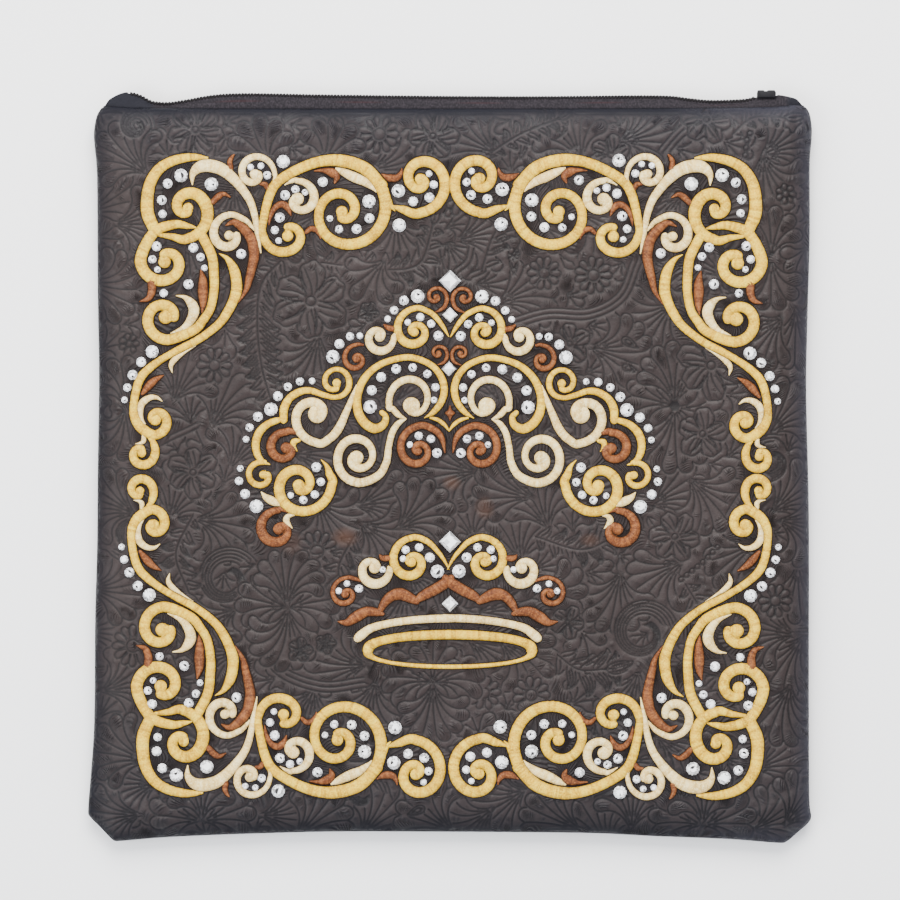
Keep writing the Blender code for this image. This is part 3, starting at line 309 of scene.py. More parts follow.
FAR_RIM = Motif([], [
    Leaf(CREAM, [(0.6, -68.1, 3.7), (-10, -68.4, 3.6), (-20, -69.2, 3.5), (-30, -70.8, 3.5),
        (-37, -72.8, 3.8), (-41.5, -76, 4.4), (-43, -77.3, 4)]),
])

# The crown's oval ring: its middle, its half sizes outside and inside, and how low its hole lies
RING_MIDDLE = (0, -82.6)
RING_OUTER = (41.5, 9.4)
RING_INNER = (35, 5.6)
RING_DROP = 1.2

# Where the quarters of the frame and the halves of the rest lie
QUARTERS = (
    Place("top_left", 1, 0, 0, 1, 0, 0),
    Place("top_right", -1.011, 0.008, 0.006, 1.010, -1.2, -0.9),
    Place("bottom_left", 1, -0.011, -0.015, -1.020, -0.7, -1.5),
    Place("bottom_right", -1.022, 0.018, -0.002, -1.032, -3.1, 0.6),
)
HALVES = (
    Place("left", 1, 0, 0, 1, 0, 0),
    Place("right", -0.997, 0.012, 0.003, 0.998, -1.1, 0),
)
# How far the frame's crystals lie from their drawn places in each quarter
MAIN_SHIFTS: Pairs = ((0, 0), (0.2, 0.4), (0, -0.3), (0.3, -0.3))
SMALL_SHIFTS: Pairs = ((0, 0), (0.3, 0.8), (-0.3, -1), (0.5, -0.8))

# Round crystals by x, y and diameter. One quarter of the frame: the main ones, then the small ones
MAIN_STONES: Dots = (
    (-125.6, 138.7, 6.3), (-111.4, 134.6, 6.3), (-139.1, 56.4, 6.1), (-77.9, 145.2, 6.2),
    (-37.8, 126.6, 6.3), (-23.7, 115.4, 6.3), (-24.1, 131.5, 6.3))
SMALL_STONES: Dots = (
    (-131.9, 134.9, 4.6), (-134.6, 127.2, 4.6), (-134.2, 120.7, 3.9), (-93.1, 142.6, 3.1),
    (-88.3, 143.2, 3.1), (-85.4, 138.8, 3.9), (-137, 105.6, 4.6), (-139, 99.5, 3.9), (-136.6, 94.8, 3.1),
    (-119.8, 104.9, 4.6), (-116.5, 100.6, 3.9), (-114.7, 95.5, 3.1), (-97.5, 102, 4.7), (-122.1, 87.9, 4.7),
    (-133.7, 83.7, 3.9), (-144.2, 51.6, 4.7), (-148.2, 45.5, 4.7), (-150.7, 39.6, 3.9), (-152, 33.9, 3.1),
    (-77, 129.5, 4.6), (-72.2, 132.2, 3.9), (-67.7, 130.8, 3.1), (-59.4, 135.7, 4.7), (-79.5, 119.1, 4.7),
    (-81.8, 113.2, 3.9), (-80, 108.2, 3.1), (-56.1, 118.6, 3.1), (-51.8, 113.6, 3.9), (-43.6, 113.7, 4.6),
    (-37.6, 118.7, 4.6), (-17.2, 126.6, 4.6), (-9.6, 128.4, 4.6), (-7.6, 134.4, 3.9), (-9.8, 139.5, 3.1))

# The left half of the tiara, and of the crown
TIARA_STONES: Dots = (
    (-80.4, 35.6, 4.6), (-83.6, 29.5, 6.3), (-89.7, 26, 4.6), (-93.6, 21, 3.9), (-95.2, 15.5, 3.1),
    (-97.9, 1.9, 3.1), (-98.5, -4, 3.9), (-95.7, -10, 4.6), (-90.4, -15.8, 6.3), (-62.4, 2.5, 4.6),
    (-60.3, -4.4, 3.9), (-63.1, -10.3, 3.9), (-68.5, -12.8, 3.9), (-74.4, -10.7, 3.1), (-75.7, 40, 3.9),
    (-70, 42.5, 3.9), (-64.4, 42.7, 3.1), (-15.1, 82.3, 6.3), (-21.5, 80.3, 4.6), (-26.1, 75.8, 3.9),
    (-29.1, 71.7, 3.1), (-19.7, 70.1, 3.1), (-13.9, 72.5, 3.9), (-8.8, 69.4, 3.9), (-5.4, 63.8, 4.7),
    (-42.1, 63.8, 3.1), (-46.6, 63.5, 3.9), (-51.6, 60, 4.6), (-54.7, 54, 6.3), (-25.1, 48.3, 4.6),
    (-17.4, 49, 3.9), (-10.6, 46, 3.9), (-6.8, 39.8, 3.9), (-7.5, 33.8, 3.1), (-32.1, 44.5, 4.6),
    (-36.5, 38.4, 4.7), (-37.3, 30.6, 6.3), (-14.6, 17.1, 3.9), (-18.7, 13, 3.1), (-8.9, 15.7, 3.9),
    (-6.1, 9.1, 4.6))
CROWN_STONES: Dots = (
    (-20.7, -36.1, 3.9), (-14.4, -35, 3.9), (-21.9, -40.3, 3.1), (-9.4, -39.7, 4.6), (-5.9, -46.2, 6.3),
    (-31.4, -45.4, 3.1), (-48.1, -51.9, 3.1), (-51.9, -55.3, 3.1), (-42.5, -54.2, 3.9))

# Square crystals up the middle, by x, y and the length of a side
SQUARE_STONES: Dots = (
    (0, 89.4, 7.4), (0, 73.5, 5.2), (-0.5, 48.4, 5), (0, -32.4, 7.2), (0, -61.3, 5.4))


def smoothed(rows: Sequence[Sequence[float]], steps: int) -> Array:
    """A smooth curve through rows of numbers.

    Args:
        rows: the rows it goes through, at least two.
        steps: how many steps it takes from each row to the next.

    Returns:
        One row of numbers for each step.
    """
    known = np.array(rows, float)
    ends = np.vstack([2 * known[0] - known[1], known, 2 * known[-1] - known[-2]])
    t = (np.arange(steps) / steps)[:, None]
    parts = []
    for before, start, stop, after in zip(ends, ends[1:], ends[2:], ends[3:]):
        parts.append(start + 0.5 * t * (
            stop - before
            + t * (2 * before - 5 * start + 4 * stop - after)
            + t * t * (3 * start - before - 3 * stop + after)))
    return np.vstack([*parts, known[-1:]])


def spaced(rows: Array, step: float) -> Array:
    """The same line with its rows evenly apart.

    Args:
        rows: rows that start with x and y.
        step: the distance wanted from row to row, in the rows' own unit.

    Returns:
        New rows along the line, its two ends among them.
    """
    legs = np.hypot(*np.diff(rows[:, :2], axis=0).T)
    way = np.concatenate([[0.0], np.cumsum(legs)])
    wanted = np.linspace(0.0, way[-1], max(2, round(way[-1] / step) + 1))
    return np.column_stack([np.interp(wanted, way, column) for column in rows.T])


def lattice(across: Array, along: Array) -> Array:
    """The places of a lattice, one in each row."""
    return np.stack(np.meshgrid(across, along), axis=-1).reshape(-1, 2)


def headings(line: Array) -> tuple[Array, Array]:
    """Which way a line heads at each of its places, and which way its left side lies.

    Args:
        line: one row of x and y for each place.

    Returns:
        Two arrays of directions, each one unit long.
    """
    ahead = np.gradient(line, axis=0)
    ahead = ahead / np.maximum(np.hypot(*ahead.T), 1e-9)[:, None]
    return ahead, np.column_stack([-ahead[:, 1], ahead[:, 0]])


@dataclass(frozen=True)
class Chart:
    """The flat chart of the bag: its outline, and the heights of its two leathers over the floor."""

    seam_height: float = 7.5
    seam_gap: float = 0.3
    leather: float = 1.6
    front_rise: float = 9.4
    crown: float = 1.2
    crown_x: float = 170.0
    crown_y: float = 174.0
    steepest: float = 2.5
    roll_reach: float = 18.0
    top_reach: float = 14.0
    top_start: float = 0.44
    middle_y: float = 2.8
    left: Array = field(default_factory=lambda: smoothed(LEFT_SIDE, 6))
    right: Array = field(default_factory=lambda: smoothed(RIGHT_SIDE, 6))
    bottom: Array = field(default_factory=lambda: smoothed(BOTTOM_SIDE, 6))
    top: Array = field(default_factory=lambda: smoothed(TOP_SIDE, 6))
    ridge: Array = field(default_factory=lambda: smoothed(RIDGE, 6))

    def outline(self, step: float) -> Array:
        """The leather's closed outline, anticlockwise, with its places so many millimetres apart."""
        around = np.vstack([self.bottom[:-1], self.right[:-1], self.top[::-1][:-1], self.left[::-1]])
        return spaced(around, step)[:-1]

    def depths(self, x: Array, y: Array) -> list[Array]:
        """How far places lie from the leather's edges.

        Args:
            x: chart places.
            y: chart places.

        Returns:
            Their distances from the left, right, bottom and top edge, in millimetres.
        """
        return [
            x - np.interp(y, self.left[:, 1], self.left[:, 0]),
            np.interp(y, self.right[:, 1], self.right[:, 0]) - x,
            y - np.interp(x, self.bottom[:, 0], self.bottom[:, 1]),
            np.interp(x, self.top[:, 0], self.top[:, 1]) - y,
        ]

    def edge(self, x: Array, y: Array) -> Array:
        """How far places lie from the nearest edge."""
        return np.min(self.depths(x, y), axis=0)

    def swell(self, x: Array, y: Array, inset: float = 0.0) -> Array:
        """How far the leather has come up from its seam.

        Args:
            x: chart places.
            y: chart places.
            inset: how far inside the outer face, in millimetres.

        Returns:
            A share for each place, 1 where it is all the way up.
        """
        *sides, top = self.depths(x, y)
        share = self.top_start + (1 - self.top_start) * self._roll(top - inset, self.top_reach - inset)
        for depth in sides:
            share = share * self._roll(depth - inset, self.roll_reach - inset)
        return share

    def front(self, x: Array, y: Array, inset: float = 0.0) -> Array:
        """The height of the front leather.

        Args:
            x: chart places.
            y: chart places.
            inset: how far inside its outer face, in millimetres.

        Returns:
            Heights over the floor, in millimetres.
        """
        crown = self.crown * (1 - (x / self.crown_x) ** 2) * (1 - (y / self.crown_y) ** 2)
        start = self.seam_height + self.seam_gap / 2
        return start + self.swell(x, y, inset) * (self.front_rise + crown - inset)

    def back(self, x: Array, y: Array, inset: float = 0.0) -> Array:
        """The height of the back leather's outer face, or of the face so far inside it."""
        start = self.seam_height - self.seam_gap / 2
        return start - self.swell(x, y, inset) * (start - inset)

    def ridge_height(self, x: Array) -> Array:
        """The chart height of the zip's ridge."""
        return np.interp(x, self.ridge[:, 0], self.ridge[:, 1])

    def world(self, x: Array, y: Array, z: Array) -> Array:
        """Chart places and heights as places in the frame, in metres."""
        return np.column_stack([x, y - self.middle_y, z]) * MM

    def on_front(self, x: Array, y: Array, lift: Array) -> Array:
        """Places over the front leather, square to it.

        Args:
            x: chart places.
            y: chart places.
            lift: how far out of the leather each lies, in millimetres.

        Returns:
            One row of x, y and z in metres for each place.
        """
        step = 0.4
        slope_x = (self.front(x + step, y) - self.front(x - step, y)) / (2 * step)
        slope_y = (self.front(x, y + step) - self.front(x, y - step)) / (2 * step)
        slope_x = np.clip(slope_x, -self.steepest, self.steepest)
        slope_y = np.clip(slope_y, -self.steepest, self.steepest)
        out = lift / np.sqrt(1 + slope_x ** 2 + slope_y ** 2)
        return self.world(x - out * slope_x, y - out * slope_y, self.front(x, y) + out)

    @staticmethod
    def _roll(depth: Array, reach: float) -> Array:
        """A quarter ellipse, from 0 at an edge to 1 where the leather lies flat."""
        share = np.clip(depth / reach, 0.0, 1.0)
        return np.sqrt(1 - (1 - share) ** 2)


@dataclass
class Raster:
    """A fine square grid of values over the chart."""

    cell: float = 0.35
    reach: float = 184.0
    fill: float = 0.0
    cells: Array = field(init=False)

    def __post_init__(self) -> None:
        """Fills the grid."""
        count = int(2 * self.reach / self.cell)
        self.cells = np.full((count, count), self.fill)

    def places(self, x: Array, y: Array) -> tuple[Array, Array]:
        """The cells of some places.

        Args:
            x: chart places.
            y: chart places.

        Returns:
            The row and the column of each place.
        """
        last = self.cells.shape[0] - 1
        rows = np.clip(((y + self.reach) / self.cell).astype(int), 0, last)
        columns = np.clip(((x + self.reach) / self.cell).astype(int), 0, last)
        return rows, columns

    def at(self, x: Array, y: Array) -> Array:
        """The values at some places.

        Args:
            x: chart places.
            y: chart places.

        Returns:
            A value for each place, blended between the cells.
        """
        last = self.cells.shape[0] - 2
        across = np.clip((x + self.reach) / self.cell - 0.5, 0, last)
        along = np.clip((y + self.reach) / self.cell - 0.5, 0, last)
        i, j = along.astype(int), across.astype(int)
        s, t = along - i, across - j
        grid = self.cells
        return ((1 - s) * ((1 - t) * grid[i, j] + t * grid[i, j + 1])
                + s * ((1 - t) * grid[i + 1, j] + t * grid[i + 1, j + 1]))

    def nearest(self, x: Array, y: Array, reach: float) -> None:
        """Lowers the cells near places to their distance from them, in millimetres.

        Args:
            x: chart places.
            y: chart places.
            reach: how far off a cell may lie.
        """
        span = math.ceil(reach / self.cell)
        down, over = (shift.ravel() for shift in np.mgrid[-span:span + 1, -span:span + 1])
        near = np.hypot(down, over) <= span
        rows, columns = self.places(x, y)
        last = self.cells.shape[0] - 1
        row = np.clip(rows[:, None] + down[near], 0, last)
        column = np.clip(columns[:, None] + over[near], 0, last)
        apart = np.hypot((column + 0.5) * self.cell - self.reach - x[:, None],
                         (row + 0.5) * self.cell - self.reach - y[:, None])
        np.minimum.at(self.cells, (row, column), apart)

    def raise_to(self, x: Array, y: Array, values: Array) -> None:
        """Raises the cells at places to values, where they are lower."""
        np.maximum.at(self.cells, self.places(x, y), values)


CHART = Chart()


def solid(name: str, points: Array, faces: Sequence[Array], smooth: bool = True) -> Piece:
    """A mesh object that rides on the bag.

    Args:
        name: its name.
        points: one row of x, y and z in metres for each corner.
        faces: arrays of corner numbers, each with one row for a face and one column for a corner.
        smooth: whether its faces are shaded smooth.

    Returns:
        The object, in the scene and on its body.
    """
    data = bpy.data.meshes.new(name)
    sizes = np.concatenate([np.full(len(rows), rows.shape[1]) for rows in faces])
    corners = np.concatenate([rows.ravel() for rows in faces]).astype(np.int32)
    data.vertices.add(len(points))
    data.vertices.foreach_set("co", np.ascontiguousarray(points, dtype=np.float32).ravel())
    data.loops.add(len(corners))
    data.loops.foreach_set("vertex_index", corners)
    data.polygons.add(len(sizes))
    data.polygons.foreach_set("loop_start", np.concatenate([[0], np.cumsum(sizes)[:-1]]).astype(np.int32))
    data.polygons.foreach_set("use_smooth", np.full(len(sizes), smooth))
    data.update(calc_edges=True)
    data.validate()
    made = bpy.data.objects.new(name, data)
    bpy.context.scene.collection.objects.link(made)
    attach(made, BODY)
    LOG.info("%s: %d faces", name, len(sizes))
    return made


def painted(piece: Piece, name: str, values: Array, domain: str = "POINT") -> None:
    """Gives a piece a number on each of its points or faces, for its finish to read."""
    made = piece.data.attributes.new(name, "FLOAT", domain)
    made.data.foreach_set("value", np.ascontiguousarray(values, dtype=np.float32))


def grid_faces(rows: int, columns: int, around: bool = False) -> Array:
    """The four-sided faces of a grid of corners.

    Args:
        rows: how many rows of corners it has.
        columns: how many corners a row has.
        around: whether its last column joins its first.

    Returns:
        Four corner numbers for each face.
    """
    wide = columns if around else columns - 1
    i, j = np.meshgrid(np.arange(rows - 1), np.arange(wide), indexing="ij")
    i, j = i.ravel(), j.ravel()
    here, over = i * columns, (i + 1) * columns
    beside = (j + 1) % columns
    return np.column_stack([here + j, over + j, over + beside, here + beside])


@dataclass
class Embroidery:
    """Satin stitch over one node of the frame: its strokes at each of their places, thread by thread."""

    node: str
    motif: Motif
    places: tuple[Place, ...]
    heights: Raster
    slot: str
    rng: np.random.Generator
    step: float = 0.42
    # How far the dark outline band reaches beyond a stroke: a flat strip on the leather, coloured as an
    # outline and as a painted contact shadow.
    border: float = 0.62
    ragged: float = 0.09
    lowest: float = 0.55
    per_width: float = 0.23
    highest: float = 1.5
    foot_reach: float = 0.14
    foot_lift: float = 0.26
    tuck: float = 0.25
    leaf_steps: int = 8
    scroll_steps: int = 10
    eye_rows: int = 15
    thinnest: float = 0.2
    alternate: float = 0.07
    uneven: float = 0.035
    over_share: float = 0.72
    own_share: float = 0.5
    bundle: int = 3

    def build(self, finishes: dict[Thread, Material]) -> None:
        """Makes one piece for each thread of the node.

        Args:
            finishes: the material of each thread.
        """
        sewn: dict[Thread, Strokes] = {}
        for place in self.places:
            for thread, rows, eye in self.strokes():
                if place is not self.places[0] and np.all(rows[:, 0] == 0.0):
                    continue
                x, y = place.of(rows[:, 0], rows[:, 1])
                stroke = self.stitched(np.column_stack([x, y, rows[:, 2]]), eye)
                sewn.setdefault(thread, []).append(stroke)
        for thread, parts in sewn.items():
            self.piece(thread, parts, finishes[thread])

    def strokes(self) -> Iterable[tuple[Thread, Array, bool]]:
        """The strokes as they are drawn.

        Returns:
            The thread of each, its (x, y, width) rows and whether it is an eye.
        """
        for leaf in self.motif.leaves:
            yield leaf.thread, smoothed(leaf.dots, self.leaf_steps), False
        for scroll in self.motif.scrolls:
            yield scroll.thread, self.scroll_rows(scroll), False
            reach = np.linspace(-0.97, 0.97, self.eye_rows)
            x, y = scroll.eye
            wide = 2 * scroll.eye_radius * np.sqrt(1 - reach ** 2)
            rows = np.column_stack([x + reach * scroll.eye_radius, np.full(self.eye_rows, y), wide])
            yield scroll.thread, rows, True

    def scroll_rows(self, scroll: Scroll) -> Array:
        """A scroll round about its eye, and then along its tail.

        Args:
            scroll: the scroll as it is drawn.

        Returns:
            Its (x, y, width) rows.
        """
        first, way = scroll.first.value, scroll.hand.value
        turns = smoothed([(first + way * i, *arm) for i, arm in enumerate(scroll.arms)], self.scroll_steps)
        angle = turns[:, 0] * TURN / 4
        rows = np.column_stack([scroll.eye[0] + turns[:, 1] * np.cos(angle),
                                scroll.eye[1] + turns[:, 1] * np.sin(angle), turns[:, 2]])
        if not scroll.tail:
            return rows
        tail = smoothed([rows[-8], rows[-1], *scroll.tail], self.scroll_steps)
        return np.vstack([rows, tail[self.scroll_steps + 1:]])

    @staticmethod
    def capped(rows: Array) -> Array:
        """A stroke with a round end wherever it stops while it is still wide.

        Args:
            rows: its (x, y, width) rows.

        Returns:
            The same rows between those of its ends.
        """
        ends = []
        for row, before in ((rows[0], rows[1]), (rows[-1], rows[-2])):
            way = (row[:2] - before[:2]) / max(np.hypot(*(row[:2] - before[:2])), 1e-6)
            half = row[2] / 2
            reach = np.linspace(0.25, 0.98, 5 if half > 0.5 else 0)
            ends.append(np.column_stack([row[0] + way[0] * half * reach, row[1] + way[1] * half * reach,
                                         2 * half * np.sqrt(1 - reach ** 2)]))
        return np.vstack([ends[0][::-1], rows, ends[1]])

    def stitched(self, rows: Array, eye: bool) -> tuple[Array, Array]:
        """One stroke as a grid of corners.

        Args:
            rows: its (x, y, width) rows on the chart.
            eye: whether it is an eye, which has no outline where it lies on its own scroll.

        Returns:
            An array of (stitches, 9, 3) places in the frame, and one of (stitches, 9, 3) marks: how far
            the corner is on the dark outline, which is also a painted contact shadow and lends the stroke's
            sides a painted shade, the shade of its stitch, and the way along in millimetres.
        """
        rows = spaced(rows if eye else self.capped(rows), self.step)
        count = len(rows)
        ahead, side = headings(rows[:, :2])
        half = np.maximum(rows[:, 2], self.thinnest) / 2
        tall = np.minimum(self.lowest + self.per_width * rows[:, 2], self.highest)
        tall = tall * (1 + self.alternate * (np.arange(count) % 2) + self.rng.normal(0, self.uneven, count))
        share = np.array([0.94, 0.62, 0.0, -0.62, -0.94])
        rise = np.array([0.5, 0.87, 1.0, 0.87, 0.5])
        jitter = self.rng.normal(0, self.ragged, (count, 2))
        ends = half[:, None] + jitter * np.minimum(1.0, half[:, None])
        across = np.column_stack([
            half + self.border, ends[:, 0] + self.foot_reach, half[:, None] * share,
            -ends[:, 1] - self.foot_reach, -half - self.border])
        tucked, foot = np.full(count, -self.tuck), np.full(count, self.foot_lift)
        lift = np.column_stack([tucked, foot, tall[:, None] * rise, foot, tucked])
        x = rows[:, :1] + side[:, :1] * across
        y = rows[:, 1:2] + side[:, 1:] * across
        under = self.heights.at(x, y)
        lift = np.maximum(lift, self.over_share * under + self.own_share * lift)
        self.heights.raise_to(x[:, 1:-1], y[:, 1:-1], lift[:, 1:-1])
        for shift in (-0.3, 0.3):
            self.heights.raise_to(x[:, 2:-2] + shift * ahead[:, :1], y[:, 2:-2] + shift * ahead[:, 1:],
                                  lift[:, 2:-2])
        points = CHART.on_front(x.ravel(), y.ravel(), lift.ravel()).reshape(count, -1, 3)
        # Painted: 1 on the dark outline band, which also stands for the contact shadow on the leather; the
        # lower values give the stroke's sides a painted shade.
        border = np.tile([1.0, 0.85, 0.3, 0.12, 0.0, 0.12, 0.3, 0.85, 1.0], (count, 1))
        if eye:
            border = border * (under < 0.2)
        bundles = np.repeat(self.rng.random(count // self.bundle + 1), self.bundle)[:count]
        shade = np.repeat((0.3 * self.rng.random(count) + 0.7 * bundles)[:, None], x.shape[1], axis=1)
        way = np.repeat((np.arange(count) * self.step)[:, None], x.shape[1], axis=1)
        return points, np.stack([border, shade, way], axis=-1)

    def piece(self, thread: Thread, parts: Strokes, finish: Material) -> None:
        """Joins the strokes of one thread into one piece, which stands for the node.

        Args:
            thread: the thread they are sewn with.
            parts: what stitched() gave for each stroke.
            finish: the thread's material.
        """
        faces, start = [], 0
        for points, _ in parts:
            faces.append(grid_faces(points.shape[0], points.shape[1]) + start)
            start += points.shape[0] * points.shape[1]
        corners = np.vstack([points.reshape(-1, 3) for points, _ in parts])
        marks = np.vstack([marks.reshape(-1, 3) for _, marks in parts])
        made = solid(f"{self.node}_{thread.value}", corners, [np.vstack(faces)])
        for column, name in enumerate(("border", "shade", "way")):
            painted(made, name, marks[:, column])
        made.data.materials.append(finish)
        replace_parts(made, self.node)


@dataclass
class Crystals:
    """Flat-back crystals, each a ring of facets up to a flat table."""

    heights: Raster
    rng: np.random.Generator
    gap: float = 0.3
    rise: float = 0.36
    sides: int = 12
    square_sides: int = 8
    table_share: float = 0.46
    square_table_share: float = 0.6
    # Facet shades are painted reflections: bright ones for light caught, dark ones for dark surroundings.
    facet_reflections: tuple[float, ...] = (0.26, 0.36, 0.48, 0.9, 0.9, 0.9)
    dark_table_reflection: float = 0.05
    dark_square_table_reflection: float = 0.45
    pressed: float = 0.3

    def cut(self, x: float, y: float, size: float, sides: int) -> tuple[Array, Array, Array, Array]:
        """One crystal.

        Args:
            x: its middle on the chart.
            y: its middle on the chart.
            size: its diameter, or a square one's corner to corner.
            sides: how many sides it has, and 8 for a square one, whose corners are every second of them.

        Returns:
            Its corners in metres, its four-sided faces, its three-sided faces and a shade for every face,
            which paints its reflection.
        """
        square = sides == self.square_sides
        turns = np.arange(sides) * TURN / sides + (0.0 if square else self.rng.uniform(0, TURN / sides))
        table = self.square_table_share if square else self.table_share
        half = size / 2 * (np.where(np.arange(sides) % 2, math.sqrt(0.5), 1.0) if square else 1.0)
        found = []
        base = float(CHART.front(np.array(x), np.array(y))) + self.gap
        for reach, lift, turned in ((1.0, 0.0, 0.0), (1.0, 0.06, 0.0), (0.5 + table / 2, 0.72, 0.5),
                                    (table, 1.0, 0.0)):
            spin = turns + (0.0 if square else turned * TURN / sides)
            found.append(np.column_stack([x + half * reach * np.cos(spin), y + half * reach * np.sin(spin),
                                          np.full(sides, base + size * self.rise * lift)]))
        found.append(np.array([[x, y, base + size * self.rise], [x, y, base]]))
        corners = np.vstack(found)
        i = np.arange(sides)
        after = (i + 1) % sides
        quads = np.column_stack([i, after, sides + after, sides + i])
        low, mid, high = sides, 2 * sides, 3 * sides
        tip = np.full(sides, 4 * sides)
        triangles = np.vstack([np.column_stack(three) for three in (
            (low + i, low + after, mid + i), (mid + i, low + after, mid + after),
            (mid + i, mid + after, high + after), (mid + i, high + after, high + i),
            (high + i, high + after, tip), (after, i, tip + 1))])
        # Painted reflections: each facet gets a bright or dark shade, and the table a dark star.
        shades = self.rng.choice(self.facet_reflections, 3 * sides)
        pairs = np.concatenate([shades[:2 * sides], np.repeat(shades[2 * sides:], 2)[:2 * sides]])
        star = np.cos(turns + self.rng.uniform(0, TURN)) + self.rng.normal(0, 0.35, sides)
        dark = self.dark_square_table_reflection if square else self.dark_table_reflection
        table_shade = np.where(star < self.rng.uniform(-1.2, -0.1), dark, 1.0)
        return (CHART.world(*corners.T), quads, triangles,
                np.concatenate([np.full(sides, 0.5), pairs, table_shade, np.full(sides, 0.3)]))

    def piece(self, name: str, stones: Sequence[tuple[float, float, float, int]],
              finish: Material) -> Piece:
        """One piece of several crystals.

        Args:
            name: its name.
            stones: the x, y, size and sides of each crystal.
            finish: the crystals' material.

        Returns:
            The piece.
        """
        corners, quads, triangles, shades, start = [], [], [], [[], []], 0
        for x, y, size, sides in stones:
            points, four, three, shade = self.cut(x, y, size, sides)
            corners.append(points)
            quads.append(four + start)
            triangles.append(three + start)
            shades[0].append(shade[:len(four)])
            shades[1].append(shade[len(four):])
            start += len(points)
            self.press(x, y, size)
        made = solid(name, np.vstack(corners), [np.vstack(quads), np.vstack(triangles)], smooth=False)
        painted(made, "shade", np.concatenate(shades[0] + shades[1]), "FACE")
        made.data.materials.append(finish)
        return made

    def press(self, x: float, y: float, size: float) -> None:
        """Marks the place of a crystal, so that the leather's tooling stops at it.

        Args:
            x: its middle on the chart.
            y: its middle on the chart.
            size: its diameter.
        """
        side = np.linspace(-size / 2, size / 2, 24)
        spots = lattice(side, side)
        across, along = spots[np.hypot(*spots.T) <= size / 2].T
        self.heights.raise_to(x + across, y + along, np.full(len(across), self.pressed))

    def build(self, finish: Material) -> None:
        """Makes every crystal: the main ones one by one, the small ones by their part of the design.

        Args:
            finish: the crystals' material.
        """
        for quarter, main, small in zip(QUARTERS, MAIN_SHIFTS, SMALL_SHIFTS):
            for i, stone in enumerate(self.spread(MAIN_STONES, quarter, main), start=1):
                made = self.piece(f"crystal_{quarter.name}_{i}", [stone], finish)
                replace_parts(made, f"stone_{quarter.name}_{i}")
            self.piece(f"small_crystals_{quarter.name}", self.spread(SMALL_STONES, quarter, small), finish)
        for half in HALVES:
            self.piece(f"tiara_crystals_{half.name}", self.spread(TIARA_STONES, half), finish)
            self.piece(f"crown_crystals_{half.name}", self.spread(CROWN_STONES, half), finish)
        for i, (x, y, side) in enumerate(SQUARE_STONES, start=1):
            stone = (x, y, side * math.sqrt(2), self.square_sides)
            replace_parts(self.piece(f"square_crystal_{i}", [stone], finish), f"square_stone_{i}")

    def spread(self, stones: Dots, place: Place,
               shift: tuple[float, float] = (0.0, 0.0)) -> list[tuple[float, float, float, int]]:
        """The crystals of a table at one of its places.

        Args:
            stones: the table.
            place: where this repeat of it lies.
            shift: how far its crystals lie from there.

        Returns:
            The x, y, size and sides of each crystal.
        """
        found = []
        for drawn_x, drawn_y, size in stones:
            x, y = place.of(drawn_x, drawn_y)
            found.append((x + shift[0], y + shift[1], size, self.sides))
        return found


# The motifs of the tooling. Flowers: x, y, radius, petals
FLOWERS: Rows = (
    (-65, 80, 18, 6), (-119, 160, 13, 7), (-8, 157, 12, 6), (122, 50, 16, 6),
    (118, 18, 12, 5), (120, 165, 12, 6), (56, 60, 10, 5), (105, -30, 12, 6),
    (55, -70, 8, 5), (-38, 75, 5, 5), (-70, -83, 6, 5), (-58, -80, 5, 5),
    (70, -128, 12, 6), (-75, -135, 12, 6), (75, 20, 11, 6), (-120, 0, 12, 6),
    (-10, -140, 9, 5), (128, -95, 11, 6), (-128, -95, 11, 6), (75, 148, 10, 6))
# Rosettes: x, y, radius
ROSETTES: Dots = (
    (-33, 158, 9.5), (-110, 50, 8.5), (44, 93, 8), (67, 92, 9), (16, -103, 8),
    (38, -104, 9), (-148, -81, 10), (-62, -37, 10), (157, 130, 5),
    (30, 102, 3), (152, -60, 8), (-150, 60, 5), (0, 125, 6))
# Swirls: x, y, radius, and the turns at which they start and stop
SWIRLS: Rows = (
    (-104, -50, 16, 0.1, 0.9), (90, -75, 17, 0, 0.85), (-10, -116, 10, 0.1, 1),
    (-70, 152, 24, 0.02, 0.48), (-147, 162, 9, 0, 0.8), (150, 5, 13, 0.2, 0.95),
    (35, -140, 12, 0.1, 0.9), (-40, -150, 12, 0, 0.6), (100, 100, 9, 0.3, 1.1),
    (-150, -30, 12, 0.6, 1.4))
# Fronds: the stem, and the length of the leaves on its left and on its right
FRONDS: Sequence[tuple[Pairs, float, float]] = (
    (((-78, 100), (-88, 88), (-90, 70), (-88, 50), (-84, 35)), 8, 7),
    (((-60, 98), (-35, 95), (-15, 97), (-8, 115)), 6, 6),
    (((15, 95), (20, 110), (28, 122)), 0, 8),
    (((50, -85), (60, -92), (72, -92)), 8, 8),
    (((-45, -30), (-52, -45), (-48, -60)), 7, 5),
    (((132, 158), (142, 166), (156, 166)), 6, 4),
    (((20, 150), (33, 158), (50, 165)), 5, 5),
    (((110, -52), (118, -68), (112, -84)), 6, 6),
    (((40, -30), (62, -36), (80, -28)), 7, 6),
    (((-120, -20), (-128, -38), (-122, -56)), 6, 6),
    (((60, 2), (82, -6), (92, -20)), 5, 6))
